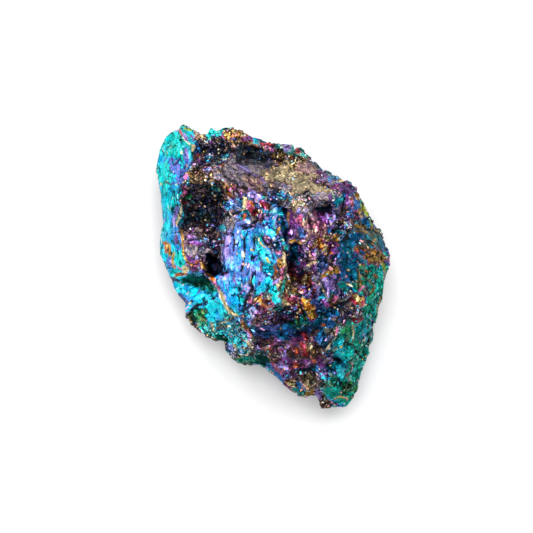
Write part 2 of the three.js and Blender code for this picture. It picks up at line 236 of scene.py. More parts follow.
def linear(srgb):
    """The colour in linear light."""
    return tuple(c / 12.92 if c <= 0.04045 else ((c + 0.055) / 1.055) ** 2.4 for c in srgb)


@dataclass
class Texture:
    """How a patch's surface is worn and broken."""

    bare: float  # how much dull grey-brown ore shows
    fleck: float  # how many bright specks, painted glints, there are, and how strong the painted highlights on ridges are
    crack: float  # how black the cracks between flakes are
    rough: float  # how strongly its chips stand out
    vary: float  # how much the film's thickness differs from flake to flake


SMOOTH = Texture(0, 0.3, 0.4, 0.35, 0.08)
GLOSSY = Texture(0, 0.6, 0.4, 0.3, 0.1)
CHIPPED = Texture(0, 0.3, 0.5, 1, 0.08)
FACETED = Texture(0.15, 0.3, 0.6, 0.55, 0.08)
MATTE = Texture(0.95, 0.1, 0.4, 0.4, 0.1)
DUSTY = Texture(0.45, 0.5, 0.55, 0.6, 0.1)
CRYSTALS = Texture(0.1, 0.8, 0.8, 0.8, 0.12)
WORN = Texture(0.4, 0.6, 0.7, 1, 0.12)
DULL = Texture(0.85, 0.5, 0.7, 0.9, 0.12)
PITTED = Texture(0.35, 0.7, 0.85, 1, 0.3)
MOTTLED = Texture(0, 0.5, 0.6, 1, 0.3)


@dataclass
class Mark:
    """A line of one colour along a path, seen from above."""

    path: list  # the x and y of its points in turn, in mm
    radius: float
    film: str
    light: float  # how brightly it reflects, the tarnish's own brightness together with painted light and shade: 0 is black


@dataclass
class Patch(Mark):
    """An area of tarnish round such a path, with a texture of its own."""

    texture: Texture
    blades: float | None = None  # the direction of its blade-shaped chips, in degrees from +X

    def look(self):
        """The values that it gives the vertices under it."""
        values = {name: getattr(self.texture, name) for name in ("vary", "bare", "fleck", "crack")}
        return {**values, "film": FILM[self.film][0], "light": self.light}


# Each row is a patch: path, radius, film, light, texture and blades. Later ones lie over earlier ones.
PATCH_ROWS = [
    # The left face
    ([-16.4, 19.6, -16.9, 12, -17, 4, -16.8, -0.6], 2.5, "cyan", 0.7, GLOSSY, 80),
    ([-15.6, 20.3, -14.8, 17.4], 2.4, "turquoise", 0.7, GLOSSY, 110),
    ([-17.6, 15.8, -16.4, 14.4], 0.9, "turquoise", 1, SMOOTH),
    ([-16, 12.6, -16.2, 9], 0.7, "cyan", 0.7, SMOOTH, 85),
    ([-15.2, 16, -14.7, 14.4], 1.1, "periwinkle", 0.6, SMOOTH),
    ([-13.9, 18.6, -13.7, 17.6], 0.6, "lavender", 0.7, SMOOTH),
    ([-15.3, 5.2, -15.1, 3.4], 0.8, "azure", 0.8, SMOOTH),
    ([-16.6, 1.2, -16.4, 0.4], 0.5, "periwinkle", 0.7, SMOOTH),
    # The spur
    ([-14.2, 21.6, -13, 20.2], 0.9, "turquoise", 0.8, SMOOTH),
    ([-13, 21.4, -12.5, 20.3], 0.7, "cyan", 0.9, SMOOTH),
    # The back crest
    ([-11.8, 21, -10.4, 20.9], 0.7, "gold", 0.9, DULL),
    ([-9.9, 21.3, -8.2, 21.9], 0.7, "turquoise", 1.1, CHIPPED),
    ([-9.6, 20.4, -8.2, 20.5], 0.7, "purple", 0.9, WORN),
    ([-11.1, 19.5, -10.1, 19.2], 0.7, "lavender", 1.2, DULL),
    ([-7.4, 21.4, -6.2, 21.8, -4.8, 21, -4.2, 20.2], 0.95, "gold", 1, CRYSTALS),
    ([-7.2, 20.2, -6.2, 19.8], 0.5, "gold", 1.2, CRYSTALS),
    ([-5.4, 19.6, -3.4, 19.6], 0.75, "gold", 1, WORN),
    ([-4.4, 20.4, -3.4, 20.5], 0.5, "purple", 0.35, CHIPPED),
    ([-1, 19, 0.6, 18.8], 0.7, "purple", 0.5, WORN),
    # The trough behind the shelf, darkened with painted shade under the back crest
    ([-12.2, 19.3, -12, 18.4], 0.5, "azure", 0.45, CHIPPED),
    ([-11.4, 17.8, -9, 18.8, -7, 18.8], 1.1, "periwinkle", 0.3, PITTED),
    ([-12.2, 17.2, -9.6, 16.6], 0.9, "purple", 0.6, PITTED),
    ([-9.6, 17.2, -6.8, 17.3], 0.7, "periwinkle", 0.6, PITTED),
    ([-8.4, 16.6, -7.4, 15.4], 0.5, "orange", 0.4, CHIPPED),
    ([-4.8, 17.9, -1, 17.4], 1.15, "azure", 0.25, DUSTY),
    ([-0.6, 16.8, 0.6, 16.4], 0.8, "periwinkle", 0.4, WORN),
    ([1, 17.8, 4.2, 17.2], 0.9, "gold", 0.4, PITTED),
    # The matte shelf
    ([-12.4, 15.6, -9.6, 15.4], 0.9, "lavender", 0.6, WORN),
    ([-12.6, 13.9, -9.4, 14], 1.2, "gold", 0.5, DULL),
    ([-9.2, 14.6, -8.4, 14.3], 0.6, "lavender", 0.7, MATTE),
    ([-7, 15.6, -3.6, 14.6], 1.2, "lavender", 0.4, MATTE, 150),
    ([-4.4, 15.9, -0.6, 15.4], 0.9, "lavender", 0.4, MATTE, 150),
    ([-4.6, 13.9, -0.4, 12.6], 1.1, "pink", 0.4, MATTE, 135),
    ([-1, 14.6, 0.8, 13.6], 1.1, "cream", 0.6, MATTE),
    ([1.6, 15, 3, 13.4, 5.4, 14.8], 1.7, "cream", 0.6, MATTE),
    ([4.4, 16.2, 6.4, 15.6], 0.8, "pink", 0.6, MATTE),
    ([1, 12.9, 2.6, 12.4], 0.8, "lavender", 0.6, MATTE),
    ([6.6, 12.6, 8.2, 11.6], 1.1, "cream", 0.7, MATTE),
    ([7.6, 11, 8.4, 11], 0.9, "lavender", 0.8, MATTE),
    ([6.4, 13.9, 8.6, 13.5], 0.6, "purple", 0.6, WORN),
    ([9.5, 13.3, 9.9, 12.8], 0.6, "lavender", 0.8, MATTE),
    ([-7.9, 12.9, -6.8, 12.4], 0.75, "gold", 0.5, CHIPPED),
    ([-6.2, 12.6, -4.6, 12.4], 0.6, "purple", 0.7, WORN),
    # The dark hollow and its rim; the hollow's dark is painted shade
    ([-13.2, 11.6, -9.4, 11.4, -9.2, 7.6, -12.6, 7.6], 2, "periwinkle", 0.3, PITTED),
    ([-13.3, 9, -12.6, 7.6], 1.1, "lavender", 0.35, PITTED, 175),
    ([-10.8, 10, -9.4, 8.4], 1, "periwinkle", 0.25, WORN),
    ([-12.4, 11.9, -10.8, 11.9], 0.6, "purple", 0.4, WORN),
    ([-11.8, 6.4, -9, 4.4], 1.2, "purple", 0.35, WORN),
    ([-8.9, 6.8, -8.2, 5], 0.7, "periwinkle", 0.5, WORN),
    # The block, its ledge, and the deep pit
    ([-13, 4.6, -12.4, 1.4, -10.4, 2.2], 1.5, "purple", 0.7, DUSTY),
    ([-14, 5.1, -12.6, 5.5], 0.5, "purple", 0.7, DUSTY),
    ([-12.8, 4, -11.4, 3.6], 0.55, "purple", 0.6, SMOOTH),
    ([-13.6, 2.6, -10.6, 2.3], 0.65, "lavender", 0.7, MATTE),
    ([-10.2, 2.4, -8.8, 2.4], 0.7, "lavender", 0.7, MATTE),
    ([-10.4, 4.4, -9.4, 3.2], 0.7, "periwinkle", 0.6, PITTED),
    ([-14.9, 1.9, -14.8, 0.4], 1, "turquoise", 1.4, SMOOTH),
    ([-15.6, -0.2, -15, -0.7], 0.5, "cream", 1.2, SMOOTH),
    # The deep pit, black with painted shade
    ([-9.5, 0.9, -9.4, -1], 1.3, "azure", 0.05, SMOOTH),
    # The lower left face, brightened with painted light
    ([-15.4, -1, -15.4, -2.6], 1.1, "turquoise", 1, SMOOTH),
    ([-14.6, -3, -12.4, -5.4, -10, -7.2], 2.4, "sky", 1.1, SMOOTH, 35),
    ([-9.6, -4.6, -8.6, -7.2], 1.1, "sky", 1.5, SMOOTH, 35),
    ([-12.4, -4.8, -11, -5.7], 0.7, "sky", 1.4, SMOOTH, 35),
    ([-8.6, -5.6, -8, -7.2], 0.5, "cyan", 1.4, SMOOTH),
    ([-9.4, -7.4, -9.2, -8.8], 0.8, "sky", 1.5, SMOOTH, 80),
    # A painted shadow under the block's ledge
    ([-13.2, -2, -11.8, -2.4, -10.6, -2.9], 0.8, "teal", 0.15, SMOOTH),
    ([-10.4, -2.9, -9.4, -3.6], 0.5, "teal", 0.35, SMOOTH),
    ([-12.2, -7.4, -11.2, -7.4], 0.5, "teal", 0.35, CHIPPED),
    ([-11.9, -8.3, -11.3, -9.2], 0.85, "emerald", 0.9, FACETED),
    ([-13.2, -7.6, -12.6, -8.6], 0.6, "teal", 0.1, CHIPPED),
    ([-10.8, -10.2, -9.8, -10.8], 0.7, "turquoise", 1.7, CRYSTALS),
    ([-9.2, -9.6, -6.8, -9.4], 0.8, "cyan", 1.7, CRYSTALS, 30),
    ([-8.4, -10.2, -7.2, -10.8], 0.7, "cyan", 1.7, CRYSTALS),
    ([-8.8, -11.2, -7.8, -11.6], 0.55, "teal", 0.15, SMOOTH),
    ([-6.8, -8.6, -5.6, -9], 0.6, "azure", 0.9, CRYSTALS),
    ([-6.2, -9.9, -5.4, -10.6], 0.7, "cyan", 0.5, CRYSTALS),
    ([-6.6, -11.6, -4.8, -12.4], 0.8, "cyan", 2.2, CRYSTALS),
    ([-5.4, -13.4, -4.8, -13], 0.5, "azure", 1.7, CRYSTALS),
    ([-7.2, -13, -6.4, -14], 0.6, "periwinkle", 0.8, WORN),
    ([-4.4, -13.9, -2.8, -14.2], 0.5, "cyan", 0.9, WORN),
    ([-5.2, -15, -2.4, -15.3], 0.6, "teal", 0.5, CHIPPED),
    # The blue face and the ridge below it
    ([-5.6, 5, -5.8, 0.4], 2.2, "periwinkle", 0.9, GLOSSY, 80),
    ([-3.4, 5.4, -3, 0.6], 1.6, "azure", 0.9, GLOSSY, 95),
    ([-7.2, -1.8, -6.4, -5.4, -5.8, -6.8], 1.3, "azure", 0.8, GLOSSY, 105),
    ([-8.2, -2.2, -7.2, -5.6], 0.6, "azure", 0.6, GLOSSY, 115),
    ([-5, -0.8, -4.6, -2.6], 1.2, "azure", 0.9, GLOSSY, 95),
    ([-3.6, -0.4, -2.2, -1.4], 1.2, "periwinkle", 0.8, GLOSSY, 80),
    ([-2.8, 1.6, -1.8, 1.4], 0.8, "azure", 1, GLOSSY, 60),
    ([-2.6, 4.8, -0.6, 1.2, 0.4, -0.6], 0.8, "cyan", 1.1, FACETED, 125),
    ([-0.6, 2.8, 0.4, 1.2], 0.6, "azure", 1, GLOSSY, 120),
    ([-0.9, -0.4, -0.3, -1], 0.65, "cyan", 1.1, SMOOTH),
    ([-2.6, -4.2, -1.2, -2.8], 0.75, "azure", 1.3, SMOOTH, 50),
    ([-3.2, -2, -3, -3], 0.5, "azure", 1, SMOOTH, 70),
    ([-4.4, -3.4, -3.9, -4.4], 0.5, "lavender", 1.1, GLOSSY, 70),
    ([-0.6, -2.4, 0.5, -4.6, 0.6, -6], 0.7, "cyan", 1.3, GLOSSY, 60),
    ([-7, 10, -6.2, 9.2], 0.9, "azure", 1.2, FACETED),
    ([-6.8, 8.6, -6, 7.6], 0.5, "periwinkle", 0.7, DUSTY),
    ([-7.2, 7.2, -6.6, 6.6], 0.7, "lavender", 0.5, MATTE),
    ([-5.6, 6.6, -4, 7.4], 0.55, "periwinkle", 0.8, GLOSSY, 20),
    ([-2.4, 6.4, -2.6, 5.6], 0.5, "azure", 0.7, SMOOTH),
    ([-1, 6, -0.2, 5.2], 0.65, "azure", 1.2, SMOOTH),
    ([-3.6, 11.9, -2.7, 11.4], 0.65, "lavender", 1, SMOOTH),
    ([-2, 10.3, -1.2, 9.8], 0.6, "crimson", 0.5, CHIPPED),
    ([-2.9, 8.7, -2.2, 7.8], 0.75, "purple", 0.4, WORN),
    # Painted light brightens the bottom of the blue face
    ([-3.4, -7.2, -2.6, -7.6], 0.8, "lavender", 2, GLOSSY, 60),
    ([-2.2, -7, -1.6, -8.2], 0.5, "purple", 1.7, CRYSTALS, 70),
    ([-4, -8.2, -3.6, -9], 0.5, "periwinkle", 2, CHIPPED, 60),
    ([-2.7, -5.4, -0.6, -6.4], 0.9, "orange", 1.3, DUSTY, 50),
    ([-1, -5.4, -0.4, -6], 0.5, "crimson", 0.8, WORN),
    ([-1.4, -7, -0.4, -7.6], 0.6, "pink", 0.9, CRYSTALS),
    # The summit crest and the cleft
    ([-0.6, 11.4, 1, 10.4], 0.9, "periwinkle", 0.35, WORN),
    ([1.4, 10.6, 2.4, 10], 0.6, "lavender", 0.5, DULL),
    ([1, 9.2, 1.9, 8.6], 0.6, "azure", 0.35, CHIPPED),
    # The cleft, darkened with painted shade
    ([1.2, 7.6, 1.6, 6.4], 0.65, "azure", 0.15, SMOOTH),
    ([2.2, 5.8, 2.2, 4.8], 0.5, "azure", 0.1, SMOOTH),
    ([0.4, 4.4, 0.8, 3.4, 1, 2.4], 0.65, "azure", 1.1, CRYSTALS),
    # The dark trough right of the summit, darkened with painted shade
    ([3.4, 3.4, 4.2, 3], 0.7, "purple", 0.3, CHIPPED),
    ([3.4, 1.8, 3.8, 0.8], 1.2, "azure", 0.15, CHIPPED),
    ([3.6, -0.6, 4.4, -1], 1.2, "purple", 0.15, MOTTLED),
    ([2.8, -2.2, 3.4, -3.4], 0.8, "gold", 0.35, WORN),
    ([2, -3.4, 2, -4.8], 0.5, "gold", 0.5, MATTE, 95),
    ([5.2, -1.4, 5.4, -2.8], 0.6, "gold", 0.2, MOTTLED),
    ([5.4, -3.4, 6.4, -4.4], 0.9, "purple", 0.2, MOTTLED),
    # The columns
    ([2.6, 9, 3.2, 6.4, 3, 5], 0.6, "purple", 0.7, FACETED, 90),
    ([3.4, 9.6, 4.6, 9.8], 0.9, "cream", 0.8, DULL),
    ([4.2, 8.6, 5.8, 8.6], 0.7, "lavender", 0.9, DUSTY),
    ([4.4, 7.4, 4.8, 5.6], 1, "pink", 1, DUSTY, 80),
    ([5.8, 7.4, 5.8, 5.2], 0.9, "pink", 1, DUSTY, 80),
    ([6.8, 7.2, 7.2, 5.4], 0.65, "pink", 1, DUSTY, 100),
    ([8.2, 6.4, 8.4, 5], 0.7, "pink", 1, DUSTY),
    ([5.6, 10.6, 6.6, 10.2], 0.7, "lavender", 0.7, DULL),
    ([7.4, 8.6, 8.6, 8.4, 9.3, 8.7], 0.6, "purple", 0.3, SMOOTH),
    ([8, 7.6, 8.8, 7.2], 0.55, "purple", 0.6, CHIPPED),
    ([8.8, 5, 9.6, 4.4], 0.6, "cream", 0.8, DULL),
    ([6, 4.4, 7.6, 4], 0.8, "purple", 1, WORN),
    ([5.2, 3.4, 5.6, 2.2], 0.7, "lavender", 0.9, WORN),
    ([6.2, 1.7, 7, 1.4], 0.55, "purple", 0.9, WORN),
    ([8, 3.2, 8.8, 2.4], 1, "gold", 0.9, WORN),
    ([9.6, 3.4, 10.4, 3.2], 0.7, "purple", 0.4, CHIPPED),
    ([7.6, 1.4, 8, -0.2], 0.7, "periwinkle", 0.3, CHIPPED),
    ([9.4, 1.6, 9.6, 0.2], 0.7, "purple", 0.9, WORN, 80),
    ([8.4, -2.2, 9.2, -2.8], 0.75, "lavender", 0.9, SMOOTH, 80),
    ([8.8, -3, 9, -4.4], 0.55, "lavender", 1, SMOOTH, 95),
    ([8.2, -5.6, 9.2, -6.2], 0.55, "purple", 0.8, CHIPPED),
    ([10, -3.2, 10.6, -4.4], 0.6, "lavender", 0.8, CRYSTALS),
    # The right crest and face, darkened with painted shade
    ([13.4, 4.6, 13.6, -3.4], 1.6, "azure", 0.35, FACETED),
    ([14.6, 5.6, 16.4, 3.4], 1.9, "cyan", 0.3, DUSTY, 140),
    ([10.8, 12.8, 12.2, 12.2], 1.3, "purple", 0.35, FACETED),
    ([10.4, 10.8, 10.6, 10.1], 0.5, "cyan", 0.35, SMOOTH),
    ([10.2, 12, 10.8, 11.4], 0.5, "periwinkle", 0.45, DUSTY),
    ([11.4, 8.8, 13.2, 8.4], 0.9, "purple", 0.5, WORN),
    ([12.4, 8.6, 12.8, 8.2], 0.5, "azure", 0.35, CHIPPED),
    ([10.8, 7.2, 12.4, 6.6], 0.8, "lavender", 0.9, PITTED),
    ([10.6, 5.8, 12, 5.4], 0.8, "azure", 0.4, PITTED),
    ([13.4, 10.8, 13.5, 9.4], 0.5, "azure", 0.4, SMOOTH),
    ([14.4, 7.6, 15, 7], 0.6, "azure", 0.4, SMOOTH),
    ([13.2, 5.4, 13.3, 4.6], 0.7, "azure", 0.25, SMOOTH),
    ([12.6, 3.4, 12.6, 2.6], 0.8, "azure", 0.4, SMOOTH),
    ([11.6, 2.4, 12, 0.8], 1.2, "azure", 0.35, FACETED),
    ([12, -0.6, 12.8, -2.8], 1.5, "azure", 0.35, FACETED, 150),
    ([11.2, -2.6, 11.6, -3.6], 0.5, "turquoise", 0.5, SMOOTH),
    ([16.4, 0.4, 16.2, -4, 15.6, -6.6], 2.1, "teal", 0.6, FACETED),
    ([14.4, 2, 17.4, 1.2], 1, "gold", 0.4, FACETED, 160),
    ([15.1, -4.2, 15.4, -3.4], 0.5, "lavender", 0.5, WORN),
    ([13.2, -4.6, 14, -5, 14.4, -5.9], 0.6, "gold", 0.8, CHIPPED),
    # The scallop and the valley
    ([5.2, -6, 6, -7.4], 0.95, "gold", 1.2, CHIPPED),
    ([1.4, -6.8, 3.4, -7.8], 0.9, "azure", 0.2, PITTED),
    ([2.6, -5, 3.6, -5.6], 0.7, "crimson", 0.7, CRYSTALS),
    ([4.2, -5.6, 4.4, -7.2], 0.5, "crimson", 0.5, WORN),
    ([6.8, -5.4, 7.4, -6.6], 0.6, "periwinkle", 0.25, SMOOTH),
    ([9.6, -6, 10.6, -5.8], 0.5, "gold", 0.45, WORN),
    ([7.4, -7.6, 10, -7.4], 0.6, "azure", 0.35, FACETED),
    ([11.2, -7.2, 12.8, -7.4], 0.8, "lavender", 0.6, WORN, 70),
    ([13.4, -6.9, 13.9, -7.2], 0.6, "lavender", 0.6, DULL),
    ([11.2, -8.6, 12.6, -8.4], 0.7, "lavender", 0.7, PITTED, 60),
    ([1, -8.8, 3.2, -8.6], 0.9, "azure", 0.15, MOTTLED),
    ([-2.4, -8.8, 0.6, -8.4], 0.8, "purple", 0.45, WORN),
    ([-3, -10.6, 1, -9.8], 0.8, "periwinkle", 0.2, FACETED, 160),
    ([-1.4, -11.4, 3, -11.2, 6, -10.2], 0.7, "azure", 0.3, FACETED, 165),
    ([6.4, -9.4, 9.2, -9.2], 0.8, "azure", 0.35, FACETED),
    ([2.6, -9.8, 3.8, -10.6], 0.5, "azure", 0.45, SMOOTH),
    ([6.6, -10.8, 7.4, -11], 0.5, "orange", 0.4, WORN),
    ([7.6, -11, 8.4, -12.6], 0.9, "azure", 0.3, FACETED, 60),
    # The magenta lump and the step below it
    ([-1.6, -12.4, 1.6, -13.2], 1.4, "purple", 0.35, WORN, 150),
    ([2, -14, 5.6, -13.6], 1.6, "purple", 0.5, WORN, 100),
    ([3.2, -12, 4.4, -11.8], 0.5, "purple", 0.6, CHIPPED),
    ([-1.8, -12, -0.2, -11.9], 0.6, "purple", 0.15, WORN),
    ([5, -10.8, 5.4, -11.4], 0.5, "crimson", 0.7, CHIPPED),
    ([4.6, -12.4, 5.4, -13, 5.2, -14.4], 0.6, "crimson", 0.8, CHIPPED, 85),
    ([3.6, -13.2, 3.8, -13.8], 0.5, "crimson", 0.6, CHIPPED),
    ([6, -12.6, 6.8, -14.2], 0.6, "orange", 0.3, DULL, 85),
    ([-0.4, -13.6, 0.2, -15], 0.5, "gold", 0.3, WORN),
    ([7.4, -14.6, 7.8, -15.6], 0.5, "purple", 0.5, CHIPPED),
    ([3.2, -17.4, 4.8, -18.2], 0.7, "purple", 0.5, WORN),
    ([2.8, -18.4, 3.4, -18.8], 0.5, "cream", 1.1, WORN),
    ([5.6, -17.4, 6.6, -18.6, 5.8, -19.4], 0.75, "cream", 0.6, DULL),
    ([7, -17.2, 7.6, -18.4], 0.5, "lavender", 0.6, DULL, 75),
    ([6.2, -21.2, 8.8, -22.2], 0.7, "gold", 0.35, DULL),
    # A painted shade in the undercut notch at the outline
    ([-1.9, -14.2, -1, -15], 0.75, "teal", 0.05, SMOOTH),
    # The front face, darkened with painted shade
    ([13.6, -10.4, 13, -14.6, 11.4, -20], 2.6, "teal", 0.6, FACETED),
    ([13.9, -8.8, 14.4, -11.4], 0.9, "cyan", 0.4, FACETED, 40),
    ([11.4, -12.8, 11, -17], 0.9, "cyan", 0.4, FACETED, 50),
    ([11, -19.6, 12.4, -19.2], 0.9, "emerald", 0.4, CRYSTALS),
    ([9.6, -20.6, 11.4, -21.4], 1.2, "teal", 0.4, SMOOTH),
    ([10.8, -12.2, 9.8, -15.4], 1.2, "cyan", 0.45, FACETED, 35),
    ([9.4, -14.6, 8.6, -15.2], 0.7, "lavender", 0.9, DUSTY, 35),
    ([11.6, -13.8, 13.2, -13.4], 0.7, "turquoise", 0.7, SMOOTH),
]
PATCHES = [Patch(*row) for row in PATCH_ROWS]
